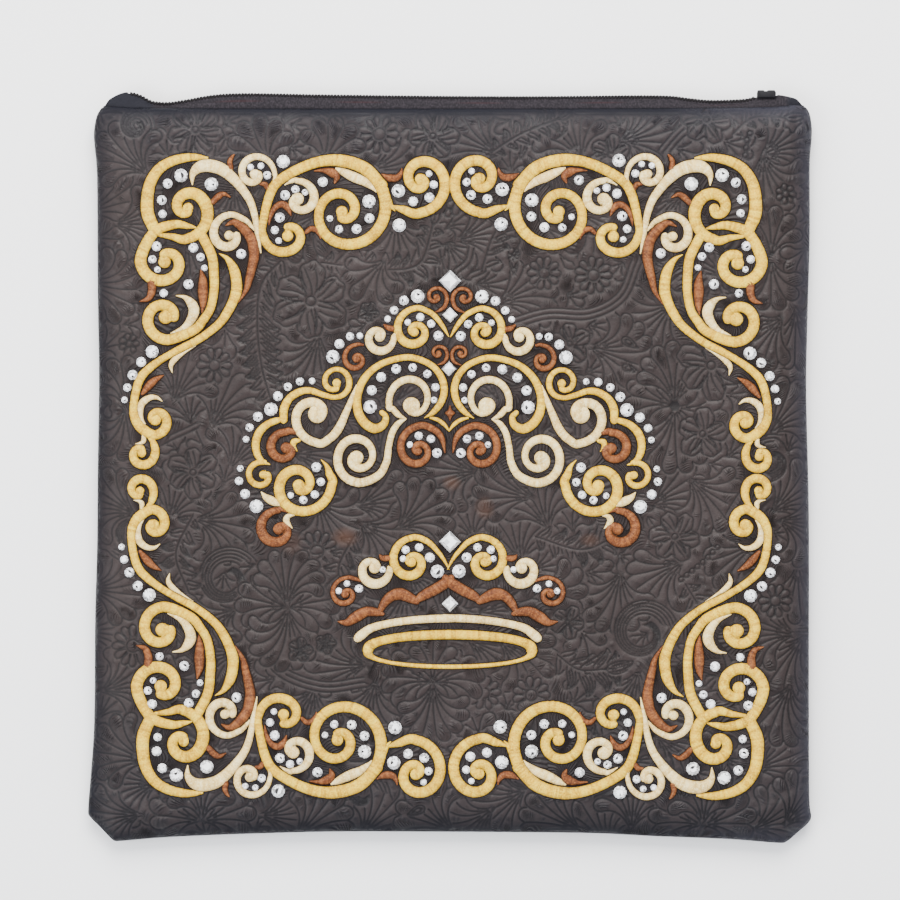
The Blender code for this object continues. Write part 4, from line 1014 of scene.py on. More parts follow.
# Acanthus leaves: x, y, the way they head, length
PLUMES: Rows = (
    (105, 31, 1.57, 27), (105, 31, -1.57, 28), (105, 31, -0.5, 22), (105, 31, 2.7, 21),
    (-76, -63, 1.57, 25), (-76, -63, -1.57, 27), (-76, -63, 2.9, 21), (-76, -63, 0.2, 21),
    (-8, -98, 1.57, 18), (-8, -98, -1.57, 25), (-8, -98, 0.2, 21), (-8, -98, 2.9, 21),
    (-116, -163, 1.57, 22), (-116, -163, 0.3, 22), (-116, -163, 2.8, 22),
    (118, -165, 1.57, 22), (118, -165, 0.3, 22), (118, -165, 2.8, 22),
    (-84, 142, 2, 22), (-60, 142, 1.1, 22), (150, 100, 1.57, 21), (150, 100, -1.57, 21),
    (-152, 30, 1.57, 21), (-152, 30, -1.57, 21), (-30, 100, -2.2, 21), (40, -50, -0.6, 22))
# Stems: their line, and how many lie side by side
STEMS: Sequence[tuple[Pairs, int]] = (
    (((25, 68), (45, 74), (65, 74), (80, 82), (87, 98)), 3),
    (((100, 150), (107, 158), (115, 165)), 3),
    (((-90, -75), (-80, -92), (-60, -100), (-40, -98)), 3),
    (((-3, 92), (-6, 105), (-3, 118)), 2), (((0, 92), (8, 98), (10, 105)), 2),
    (((10, 92), (16, 95), (18, 102)), 2), (((-135, -60), (-120, -75), (-118, -90)), 2),
    (((130, -20), (140, 0), (136, 25)), 2), (((-150, -10), (-140, 10), (-118, 22)), 2),
    (((45, 40), (58, 30), (60, 12)), 2))
# Drops: x, y, length, the way they head
DROPS: Rows = (
    (30, 92, 9, 1.6), (88, 58, 9, 2.6), (88, 47, 8, 2.8), (92, 38, 8, 3),
    (33, 146, 9, 1.4), (50, 156, 8, 1), (0, -95, 10, -1.4), (108, -52, 10, -0.9),
    (116, 57, 8, 0.5), (115, 45, 8, 0.3), (-100, 155, 8, 1.2), (-20, -160, 9, 0.4))
# Rows of beads: their line, and a bead's radius
BEADED: Sequence[tuple[Pairs, float]] = (
    (((-55, 93), (-38, 91), (-22, 94)), 1.2),
    (((138, 148), (140, 158), (150, 166), (160, 160)), 1.4),
    (((125, -35), (118, -42), (108, -50)), 1.3),
    (((-30, -128), (-10, -131), (10, -126)), 1.3),
    (((-110, -110), (-95, -116), (-80, -112)), 1.3))

# Leaves that fill the room left: how far they keep from other lines, and their length
FILLERS: Pairs = ((7, 27), (5.5, 19), (4, 13), (3, 8.5))


@dataclass
class Tooling:
    """The cut lines of the floral tooling, each as a row of chart places."""

    rng: np.random.Generator
    lines: list[Array] = field(default_factory=list)
    taken: Raster = field(default_factory=lambda: Raster(cell=0.8, fill=FAR))
    step: float = 0.8
    hair_gap: float = 2.4
    clear: float = 1.15
    hairy: float = 11.0
    strand_gap: float = 3.0
    longest: float = 31000.0
    edge_gap: float = 1.0
    line_reach: float = 6.0
    spot_reach: float = 0.9
    fill_step: float = 3.2
    fill_shift: float = 1.4
    fill_gap: float = 1.5

    def draw(self, heights: Raster) -> None:
        """Draws the motifs of the tables, then fills what stays empty with acanthus leaves.

        Args:
            heights: how high the stitches and crystals stand, where no cut runs.
        """
        rows, columns = np.nonzero(heights.cells > 0.05)
        covered = [(index[::3] + 0.5) * heights.cell - heights.reach for index in (columns, rows)]
        self.taken.nearest(*covered, 2.0)
        for x, y, radius, petals in FLOWERS:
            self.cut(self.flower(x, y, radius, petals), self.disc(x, y, 0.85 * radius))
        for x, y, turn, length in PLUMES:
            self.plume(x, y, turn, length)
        for spine, left, right in FRONDS:
            self.frond(smoothed(spine, 10), left, right)
        for x, y, radius in ROSETTES:
            self.cut(self.rosette(x, y, radius))
        for x, y, radius, start, stop in SWIRLS:
            self.cut(self.swirl(x, y, radius, start * TURN, stop * TURN))
        for spine, count in STEMS:
            self.cut(self.stem(smoothed(spine, 12), count))
        for x, y, length, angle in DROPS:
            self.cut(self.drop(x, y, length, angle))
        for spine, radius in BEADED:
            self.cut(self.arc(x, y, radius, 0, TURN) for x, y in spaced(smoothed(spine, 12), 2.6 * radius))
        self.cut(CHART.top[2:-2] - (0, down) for down in (1.4, 2.9))
        self.fill()

    def cut(self, drawn: Iterable[Array], inside: Array | None = None) -> None:
        """Keeps what is clear of all earlier motifs and of the edges, as one motif.

        Args:
            drawn: the motif's lines.
            inside: places all over the motif, which no later motif may cross.
        """
        fresh = []
        for line in drawn:
            line = spaced(np.asarray(line), self.step)
            shown = (self.taken.at(*line.T) > self.clear) & (CHART.edge(*line.T) > self.edge_gap)
            for part in np.split(np.arange(len(line)), np.flatnonzero(np.diff(shown.astype(int))) + 1):
                if shown[part[0]] and len(part) > 3:
                    fresh.append(line[part])
        for line in fresh:
            self.taken.nearest(*line.T, self.line_reach)
        self.lines += fresh
        if inside is not None:
            self.taken.nearest(*inside.T, self.spot_reach)

    @staticmethod
    def disc(x: float, y: float, radius: float) -> Array:
        """Places all over a disc."""
        spots = lattice(*[np.arange(-radius, radius, 0.9)] * 2)
        return spots[np.hypot(*spots.T) < radius] + (x, y)

    def length(self) -> float:
        """How long all the cuts are together, in millimetres."""
        return sum(len(line) - 1 for line in self.lines) * self.step

    @staticmethod
    def arc(x: float, y: float, radius: float, start: float, stop: float) -> Array:
        """One arc about a middle, from one angle to another."""
        angle = np.linspace(start, stop, max(8, int(abs(stop - start) * radius / 0.7)))
        return Tooling.around(x, y, radius, angle)

    @staticmethod
    def around(x: float, y: float, reach: Array | float, angle: Array) -> Array:
        """A line about a middle, from its distances and angles."""
        return np.column_stack([x + reach * np.cos(angle), y + reach * np.sin(angle)])

    def flower(self, x: float, y: float, radius: float, petals: int) -> Iterable[Array]:
        """An open flower: a small heart, wavy petals and many hair lines out from its heart.

        Args:
            x: its middle on the chart.
            y: its middle on the chart.
            radius: how far its petals reach.
            petals: how many there are.

        Returns:
            Its lines, one by one.
        """
        lean = self.rng.uniform(0, TURN)
        yield self.arc(x, y, radius * 0.13, 0, TURN)
        angle = np.linspace(0, TURN, int(TURN * radius / 0.5))
        lobes = np.abs(np.cos((angle - lean) * petals / 2)) ** 0.6
        waves = 1 + 0.05 * np.sin(3 * angle + lean) + 0.03 * np.sin(petals * 3 * angle)
        yield self.around(x, y, radius * (0.62 + 0.38 * lobes) * waves, angle)
        hairs = petals * 6
        for hair in range(hairs):
            middle = lean + hair * TURN / hairs
            lobe = abs(math.cos((middle - lean) * petals / 2)) ** 0.6
            reach = radius * np.linspace(0.24 + 0.12 * (hair % 2), (0.62 + 0.38 * lobe) * 0.82, 8)
            yield self.around(x, y, reach, middle + 0.22 * np.sin(reach / radius * 3 + hair))

    def rosette(self, x: float, y: float, radius: float) -> Iterable[Array]:
        """A round of close petals about a ring.

        Args:
            x: its middle on the chart.
            y: its middle on the chart.
            radius: how far its petals reach.

        Returns:
            Its lines, one by one.
        """
        yield self.arc(x, y, radius * 0.3, 0, TURN)
        petals = max(7, round(radius * 1.2))
        for petal in range(petals):
            middle = petal * TURN / petals + self.rng.uniform(-0.05, 0.05)
            bend = middle + np.array([-0.3, -0.44, -0.25, 0.0, 0.25, 0.44, 0.3]) * TURN / petals
            reach = radius * np.array([0.42, 0.75, 0.95, 1.0, 0.95, 0.75, 0.42])
            yield smoothed(self.around(x, y, reach, bend), 4)

    def swirl(self, x: float, y: float, radius: float, start: float, stop: float) -> Iterable[Array]:
        """Five arcs side by side that wind inwards, each from a little later than the one outside it.

        Args:
            x: its middle on the chart.
            y: its middle on the chart.
            radius: how far it reaches.
            start: the angle at which it starts.
            stop: the angle at which it would stop, if it didn't wind in.

        Returns:
            Its lines, one by one.
        """
        share = np.linspace(0, 1, 40)
        for i in range(5):
            reach = (radius - i * self.hair_gap * 0.75) * (1 - 0.62 * share ** 1.2)
            angle = start + 0.1 * i + (stop - start) * 1.35 * share
            yield self.around(x, y, reach[reach > 1.2], angle[reach > 1.2])

    def leaf(self, x: float, y: float, turn: float, length: float, bend: float) -> None:
        """Cuts one curled leaf: its rib, its two edges and, where it is large, hair lines beside its rib.

        Args:
            x: the place it grows from.
            y: the place it grows from.
            turn: the way it heads there.
            length: how long it is.
            bend: how far it has turned at its tip.
        """
        share = np.linspace(0, 1, max(8, round(length / self.step)))
        angle = turn + bend * share ** 1.5
        rib = self.walked(x, y, angle, length)
        side = np.column_stack([-np.sin(angle), np.cos(angle)])
        wide = 0.2 * length * np.sin(math.pi * share ** 0.8) ** 0.8
        first, last = round(0.12 * len(share)), round(0.86 * len(share))
        drawn = [rib[first:last], *(rib + side * (way * wide)[:, None] for way in (-1, 1))]
        if length > self.hairy:
            drawn += [(rib + side * (way * 0.52 * wide)[:, None])[2 * first:last] for way in (-1, 1)]
        within = [rib + side * (reach * wide)[:, None] for reach in np.linspace(-0.9, 0.9, 9)]
        self.cut(drawn, np.vstack(within))

    def frond(self, spine: Array, left: float, right: float) -> None:
        """Cuts a stem with curled leaves along its sides and at its tip.

        Args:
            spine: the stem's places.
            left: about how long the leaves on its left are, 0 for none.
            right: the same on its right.
        """
        self.cut([spine])
        spine = spaced(spine, 6.0)
        ahead = np.gradient(spine, axis=0)
        turn = np.arctan2(ahead[:, 1], ahead[:, 0])
        self.leaf(*spine[-1], turn[-1], max(left, right) * 1.8, 0.5)
        for i in range(len(spine) - 1, -1, -1):
            grown = 1.9 * math.sin(math.pi * (0.25 + 0.6 * i / len(spine)))
            for way, length in ((1, left), (-1, right)):
                if length:
                    self.leaf(*spine[i], turn[i] + way * 0.35, grown * length, way * 1.5)

    @staticmethod
    def walked(x: float, y: float, angle: Array, length: float) -> Array:
        """The line of a walk from a place, by the way it heads at each step."""
        steps = np.column_stack([np.cos(angle), np.sin(angle)])
        return np.cumsum(steps, axis=0) * length / len(angle) + (x, y)

    def strand(self, x: float, y: float, turn: float, length: float, bend: float) -> Array:
        """One line that leaves a place and bends away, most of all near its tip."""
        share = np.linspace(0, 1, max(8, round(length / self.step)))
        return self.walked(x, y, turn + bend * share ** 1.7, length)

    def plume(self, x: float, y: float, turn: float, length: float) -> None:
        """Cuts an acanthus leaf: strands that fan out of one place and curl away, inside a lobed rim.

        Args:
            x: the place it grows from.
            y: the place it grows from.
            turn: the way it heads there.
            length: how long its middle strand is.
        """
        lean = self.rng.uniform(-0.6, 0.6)
        count = 2 * max(2, round(length / self.strand_gap / 2.2)) + 1
        fan = [self.strand(x, y, turn + 0.5 * off, length * (1 - 0.32 * off ** 2), 1.5 * off + lean)
               for off in np.linspace(-1, 1, 4 * count - 3)]
        drawn = [strand[round(len(strand) * (0.1 + 0.16 * (i % 2))):] for i, strand in enumerate(fan[::4])]
        for first, middle, last in zip(fan[::4], fan[2::4], fan[4::4]):
            wide = np.hypot(*(last[-1] - first[-1]))
            ahead = (middle[-1] - middle[-3]) / np.hypot(*(middle[-1] - middle[-3]))
            near = [(3 * tip + middle[-1]) / 4 + ahead * 0.42 * wide for tip in (first[-1], last[-1])]
            far = middle[-1] + ahead * 0.55 * wide
            drawn.append(smoothed([first[-1], near[0], far, near[1], last[-1]], 4))
        self.cut(drawn, np.vstack(fan))

    def stem(self, spine: Array, count: int) -> Iterable[Array]:
        """So many lines side by side along a spine."""
        for i in range(count):
            yield spine + headings(spine)[1] * (i - (count - 1) / 2) * self.hair_gap

    @staticmethod
    def drop(x: float, y: float, length: float, angle: float) -> Iterable[Array]:
        """A drop, and a smaller one inside it.

        Args:
            x: its tip on the chart.
            y: its tip on the chart.
            length: how long it is.
            angle: the way it heads from its tip.

        Returns:
            Its two lines.
        """
        for share in (1.0, 0.5):
            t = np.linspace(0, TURN, 26)
            along = length * (0.5 - 0.5 * np.cos(t)) * share + length * (1 - share) * 0.6
            across = length * 0.3 * share * np.sin(t) * np.sin(t / 2) ** 1.2
            yield np.column_stack([
                x + along * math.cos(angle) - across * math.sin(angle),
                y + along * math.sin(angle) + across * math.cos(angle)])

    def fill(self) -> None:
        """Cuts acanthus leaves wherever no line runs yet, the large ones first."""
        grid = lattice(np.arange(-163, 166, self.fill_step), np.arange(-167, 168, self.fill_step))
        for room, length in FILLERS:
            spots = grid + self.rng.uniform(-self.fill_shift, self.fill_shift, grid.shape)
            self.rng.shuffle(spots)
            for x, y in spots[CHART.edge(*spots.T) > self.fill_gap]:
                if self.length() > self.longest:
                    return
                if float(self.taken.at(np.array(x), np.array(y))) < room:
                    continue
                turn = 1.7 * math.sin(x / 31 + 0.7) + 1.9 * math.cos(y / 27 - 0.4)
                turn += self.rng.uniform(-0.5, 0.5)
                root = self.around(x, y, np.array([-length * 0.4]), np.array([turn]))[0]
                self.plume(*root, turn, length)


# Stains of the front: x, y, half sizes across and up, strength
STAINS: Rows = (
    (-49, -30.1, 7, 5, 0.8), (0.9, -4.9, 5, 4, 0.7), (16.3, -16.6, 5, 6, 0.7),
    (65.4, -31.5, 6, 4, 0.6), (-74, -33, 7, 8, 0.5))
# Drawn folds at the corners: from, to, half width, height
FOLDS: Sequence[tuple[tuple[float, float], tuple[float, float], float, float]] = (
    ((-165.8, -156.2), (-141, -168), 2.2, -0.9), ((-163, -148), (-132, -164), 2.4, 0.7),
    ((168, -157), (138, -169), 2.2, -0.9), ((166, -149), (130, -165), 2.4, 0.7),
    ((161.5, 166), (163.5, 141), 1.3, -0.6), ((165, 166), (166, 143), 1.2, 0.5),
    ((158, 164), (160, 148), 1.4, 0.4))


@dataclass
class LeatherShell:
    """One leather, as a closed sheet: its outer face with tooling and folds, and its plain inner face."""

    name: str
    node: str
    front: bool
    cuts: list[Array]
    flat: Raster
    rng: np.random.Generator
    grid: float = 2.9
    deep: float = 0.45
    groove: float = 0.32
    shoulder: float = 0.3
    shoulder_at: float = 0.75
    shoulder_wide: float = 0.4
    beside_cut: float = 0.58
    span: float = 168.0
    inner_span: float = 167.0
    rings: tuple[float, ...] = (0.7, 1.6, 2.8, 4.4, 6.4, 9.0, 12.4)
    inner_rings: tuple[float, ...] = (1.5, 4.0, 8.0, 13.0)
    rim_step: float = 1.2
    closest: float = 0.42
    tool_fade: float = 5.0
    # How fast the edge mark fades inwards; it drives the painted edge shade and a lower shine.
    edge_shade_fade: float = 7.0
    free_from: float = 1.25
    free_over: float = 1.3
    most: int = 95000

    def build(self, finish: Material) -> Piece:
        """Makes the leather.

        Args:
            finish: its material.

        Returns:
            The piece, which stands for its node.
        """
        rim = CHART.outline(self.rim_step)
        outer = np.vstack([rim, self.spots(rim)])
        LOG.info("%s: %d of %d places", self.name, min(len(outer), self.most), len(outer))
        outer = outer[:self.most]
        inner = np.vstack([rim, self.inner_spots()])
        skins, corners, faces, total = [], [], [], 0
        for places, inside in ((outer, False), (inner, True)):
            flat, triangles, rim_at = self.joined(places, len(rim))
            corners.append(self.raised(flat, inside))
            flip = inside == self.front
            faces.append((triangles[:, ::-1] if flip else triangles) + total)
            skins.append(rim_at + total)
            total += len(flat)
        low, high = skins
        band = np.column_stack([low, np.roll(low, -1), np.roll(high, -1), high])
        points = np.vstack([points for points, _ in corners])
        made = solid(self.name, points, [np.vstack(faces), band if not self.front else band[:, ::-1]])
        plain = np.zeros(len(corners[1][0]))
        for name, marks in corners[0][1].items():
            painted(made, name, np.concatenate([marks, plain]))
        made.data.materials.append(finish)
        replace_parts(made, self.node)
        return made

    def spots(self, rim: Array) -> Array:
        """Where the outer face has corners: along the cuts, close to the edges, then evenly.

        Args:
            rim: the leather's outline.

        Returns:
            The places inside the outline, none of them too close to another.
        """
        groups = [self.beside(off) for off in (0.0, self.beside_cut, -self.beside_cut)] if self.cuts else []
        rings = [rim[::1 + i // 3] * (1 - reach / self.span) for i, reach in enumerate(self.rings)]
        steps = np.arange(-self.span, self.span + 5, self.grid)
        across, along = np.meshgrid(steps, steps)
        across = across + self.grid / 2 * (np.arange(len(steps)) % 2)[:, None]
        even = np.column_stack([across.ravel(), along.ravel()])
        even += self.rng.uniform(-0.3, 0.3, even.shape)
        groups += [np.vstack(rings), even]
        taken = Raster(cell=self.closest)
        found = []
        for i, spots in enumerate(groups):
            clear = 0 if i < 3 and self.cuts else 2
            spots = spots[CHART.edge(*spots.T) > 0.5]
            rows, columns = taken.places(*spots.T)
            _, first = np.unique(rows * taken.cells.shape[0] + columns, return_index=True)
            spots, rows, columns = spots[first], rows[first], columns[first]
            free = np.ones(len(spots), bool)
            for down in range(-clear, clear + 1):
                for over in range(-clear, clear + 1):
                    near = np.clip(rows + down, 0, None), np.clip(columns + over, 0, None)
                    free &= taken.cells[near] == 0
            taken.cells[rows[free], columns[free]] = 1
            found.append(spots[free])
        return np.vstack(found)

    def beside(self, off: float) -> Array:
        """The places so many millimetres beside the cuts."""
        return np.vstack([line + headings(line)[1] * off for line in self.cuts])

    def inner_spots(self) -> Array:
        """Where the inner face has corners.

        Returns:
            Its places inside the outline.
        """
        steps = np.arange(-160, 165, 8.0)
        even = lattice(steps, steps)
        ring = np.vstack([CHART.outline(4.0) * (1 - reach / self.span) for reach in self.inner_rings])
        return np.vstack([ring, even[CHART.edge(*even.T) > 16]])

    @staticmethod
    def joined(places: Array, rim: int) -> tuple[Array, Array, Array]:
        """Joins places into triangles inside their outline.

        Args:
            places: the places on the chart, with the closed outline first.
            rim: how many of them are the outline.

        Returns:
            The places again in their new order, the triangles, and where the outline's places are now.
        """
        spots = [Vector(place) for place in places]
        flat, _, triangles, origins, _, _ = geometry.delaunay_2d_cdt(spots, [], [list(range(rim))], 1, 1e-5)
        place_of = {old: new for new, olds in enumerate(origins) for old in olds if old < rim}
        triangles = np.array(triangles)
        points = np.array([tuple(spot) for spot in flat])
        a, b, c = (points[triangles[:, i]] for i in range(3))
        turned = (b - a)[:, 0] * (c - a)[:, 1] - (b - a)[:, 1] * (c - a)[:, 0] < 0
        triangles[turned] = triangles[turned][:, ::-1]
        return points, triangles, np.array([place_of[i] for i in range(rim)])

    def raised(self, flat: Array, inside: bool) -> tuple[Array, dict[str, Array]]:
        """One face of the leather in its shape.

        Args:
            flat: its places on the chart.
            inside: whether it is the inner face.

        Returns:
            Its corners in metres, and the numbers that its finish reads.
        """
        x, y = flat.T
        height = CHART.front if self.front else CHART.back
        if inside:
            x, y = flat.T * (1 - CHART.leather / self.inner_span)
            return CHART.world(x, y, height(x, y, CHART.leather)), {}
        edge = CHART.edge(x, y)
        fade = np.clip(edge / self.tool_fade, 0.0, 1.0)
        apart = self.flat.at(x, y)
        tool = (-np.exp(-(apart / self.groove) ** 2)
                + self.shoulder * np.exp(-((apart - self.shoulder_at) / self.shoulder_wide) ** 2))
        tool *= fade
        soft = self.undulation(x, y) * fade
        if self.front:
            points = CHART.on_front(x, y, self.deep * tool + soft)
        else:
            points = CHART.world(x, y, CHART.back(x, y) + np.maximum(soft, 0.0))
        stain = sum(strength * np.exp(-((x - px) / wide) ** 2 - ((y - py) / tall) ** 2)
                    for px, py, wide, tall, strength in STAINS) if self.front else np.zeros(len(x))
        free = np.clip((apart - self.free_from) / self.free_over, 0.0, 1.0) * self.front
        # The edge mark drives the painted shade and bluish painted reflection near the edges in the finish,
        # and its lower shine.
        return points, {"tool": tool, "edge": np.exp(-edge / self.edge_shade_fade), "stain": stain, "free": free}

    def undulation(self, x: Array, y: Array) -> Array:
        """Soft waves of the leather, and the drawn folds at the front's corners.

        Args:
            x: chart places.
            y: chart places.

        Returns:
            How far each place is raised, in millimetres.
        """
        wave = 0.16 * np.sin(x / 23 + 0.6 * np.sin(y / 31)) * np.cos(y / 27 + 0.5)
        if not self.front:
            return wave * 1.2
        for (x1, y1), (x2, y2), wide, tall in FOLDS:
            way_x, way_y = x2 - x1, y2 - y1
            along = np.clip(((x - x1) * way_x + (y - y1) * way_y) / (way_x ** 2 + way_y ** 2), 0, 1)
            apart = np.hypot(x - x1 - along * way_x, y - y1 - along * way_y)
            wave = wave + tall * np.exp(-(apart / wide) ** 2)
        return wave


@dataclass
class Shader:
    """A material's nodes, with short ways to add and join them."""

    name: str
    material: Material = field(init=False)
    surface: bpy.types.Node = field(init=False)

    def __post_init__(self) -> None:
        """Starts the material with its surface node."""
        self.material = bpy.data.materials.new(self.name)
        self.material.use_nodes = True
        self.surface = self.material.node_tree.nodes["Principled BSDF"]

    def node(self, kind: str, values: dict[str | int, object] | None = None,
             **facts: object) -> bpy.types.Node:
        """Adds a node.

        Args:
            kind: its type.
            values: what its sockets hold, or the sockets that feed them.
            facts: its own settings.

        Returns:
            The node.
        """
        made = self.material.node_tree.nodes.new(kind)
        for name, value in facts.items():
            setattr(made, name, value)
        for name, value in (values or {}).items():
            self.feed(made.inputs[name], value)
        return made

    def feed(self, socket: Socket, value: object) -> None:
        """Joins a socket to what feeds it, or sets its value.

        Args:
            socket: the socket.
            value: another socket, or a plain value.
        """
        if isinstance(value, Socket):
            self.material.node_tree.links.new(value, socket)
        else:
            socket.default_value = value

    def look(self, values: dict[str, object]) -> None:
        """Sets or feeds sockets of the surface."""
        for name, value in values.items():
            self.feed(self.surface.inputs[name], value)

    def mark(self, name: str) -> Socket:
        """A number painted on the piece."""
        return self.node("ShaderNodeAttribute", attribute_name=name).outputs["Fac"]

    def places(self) -> Socket:
        """Where a spot lies on the piece."""
        return self.node("ShaderNodeTexCoord").outputs["Object"]

    def noise(self, scale: float, detail: float = 2.0, stretch: Triple = (1, 1, 1)) -> Socket:
        """A soft random number from 0 to 1.

        Args:
            scale: how many of its waves fit in a metre.
            detail: how many finer waves are laid over them.
            stretch: how much closer they lie along each axis.

        Returns:
            The number.
        """
        moved = self.node("ShaderNodeMapping", {"Vector": self.places(), "Scale": stretch})
        values = {"Vector": moved.outputs[0], "Scale": scale, "Detail": detail}
        return self.node("ShaderNodeTexNoise", values).outputs["Fac"]

    def ranged(self, value: Socket, low: float, high: float, start: float = 0.0,
               stop: float = 1.0) -> Socket:
        """A number taken from one range to another, and held inside it."""
        values = {"Value": value, "From Min": low, "From Max": high, "To Min": start, "To Max": stop}
        return self.node("ShaderNodeMapRange", values).outputs["Result"]

    def mixed(self, share: object, first: object, second: object) -> Socket:
        """A colour between two.

        Args:
            share: how much of the second it takes.
            first: the first colour, or what feeds it.
            second: the second colour, or what feeds it.

        Returns:
            The colour.
        """
        mixer = self.node("ShaderNodeMix", data_type="RGBA")
        self.feed(mixer.inputs["Factor"], share)
        self.feed(mixer.inputs[6], first)
        self.feed(mixer.inputs[7], second)
        return mixer.outputs[2]

    def tinted(self, tone: object, colour: str, value: Socket, low: float, high: float,
               most: float = 1.0) -> Socket:
        """A tone with a colour over it: none where a number is low, and most of it where it is high."""
        return self.mixed(self.ranged(value, low, high, 0.0, most), tone, rgb(colour))

    def bump(self, height: Socket, distance: float, strength: float = 1.0,
             over: Socket | None = None) -> Socket:
        """A surface roughened by a height.

        Args:
            height: the height, from 0 to 1.
            distance: how far 1 stands out, in metres.
            strength: how much of it shows.
            over: another roughening under it.

        Returns:
            The roughened surface.
        """
        made = self.node("ShaderNodeBump", {"Height": height, "Distance": distance, "Strength": strength})
        if over is not None:
            self.feed(made.inputs["Normal"], over)
        return made.outputs["Normal"]

    def sum(self, operation: str, first: object, second: object = 0.0) -> Socket:
        """A number worked out from one or two others."""
        return self.node("ShaderNodeMath", {0: first, 1: second}, operation=operation).outputs[0]

    def vector(self, operation: str, first: object, second: object) -> Socket:
        """A vector worked out from two others."""
        return self.node("ShaderNodeVectorMath", {0: first, 1: second}, operation=operation).outputs[0]

    def leaves(self, field_size: float, hair: float) -> tuple[Socket, Socket]:
        """Hair lines that curl about a middle of their own in each of many leaf-like fields.

        Args:
            field_size: how wide a field is, in metres.
            hair: how far apart its lines are, in metres.

        Returns:
            The height of the lines from -1 to 1, and how far a spot is from its field's rim, in fields.
        """
        half = (0.5, 0.5, 0.5)
        flat = self.vector("MULTIPLY", self.places(), (1.0, 1.0, 0.0))
        wander = self.node("ShaderNodeTexNoise", {"Vector": flat, "Scale": 0.9 / field_size, "Detail": 0.0})
        wander = self.vector("SUBTRACT", wander.outputs["Color"], half)
        wander = self.vector("MULTIPLY", wander, (1.1 * field_size, 1.1 * field_size, 0.0))
        spot = self.vector("ADD", flat, wander)
        values = {"Vector": spot, "Scale": 1 / field_size}
        fields = self.node("ShaderNodeTexVoronoi", values, voronoi_dimensions="2D")
        rim = self.node("ShaderNodeTexVoronoi", values, voronoi_dimensions="2D", feature="DISTANCE_TO_EDGE")
        off = self.vector("SUBTRACT", fields.outputs["Color"], half)
        off = self.vector("MULTIPLY", off, (1.5 * field_size, 1.5 * field_size, 0.0))
        local = self.vector("ADD", self.vector("SUBTRACT", spot, fields.outputs["Position"]), off)
        parts = self.node("ShaderNodeSeparateXYZ", {0: local}).outputs
        squares = [self.sum("POWER", parts[axis], 2.0) for axis in ("X", "Y")]
        reach = self.sum("SQRT", self.sum("ADD", *squares))
        hand = self.node("ShaderNodeSeparateXYZ", {0: off}).outputs["X"]
        around = self.sum("MULTIPLY", self.sum("ARCTAN2", parts["Y"], parts["X"]), self.sum("SIGN", hand))
        rounds = self.sum("MULTIPLY", reach, 0.6 * TURN / hair)
        wave = self.sum("ADD", rounds, self.sum("MULTIPLY", around, 30.0))
        return self.sum("SINE", wave), rim.outputs["Distance"]


def rgb(code: str) -> tuple[float, float, float, float]:
    """A colour for a shader from its six-figure screen code."""
    parts = [int(code[i:i + 2], 16) / 255 for i in (0, 2, 4)]
    return (*[part / 12.92 if part <= 0.04045 else ((part + 0.055) / 1.055) ** 2.4 for part in parts], 1.0)


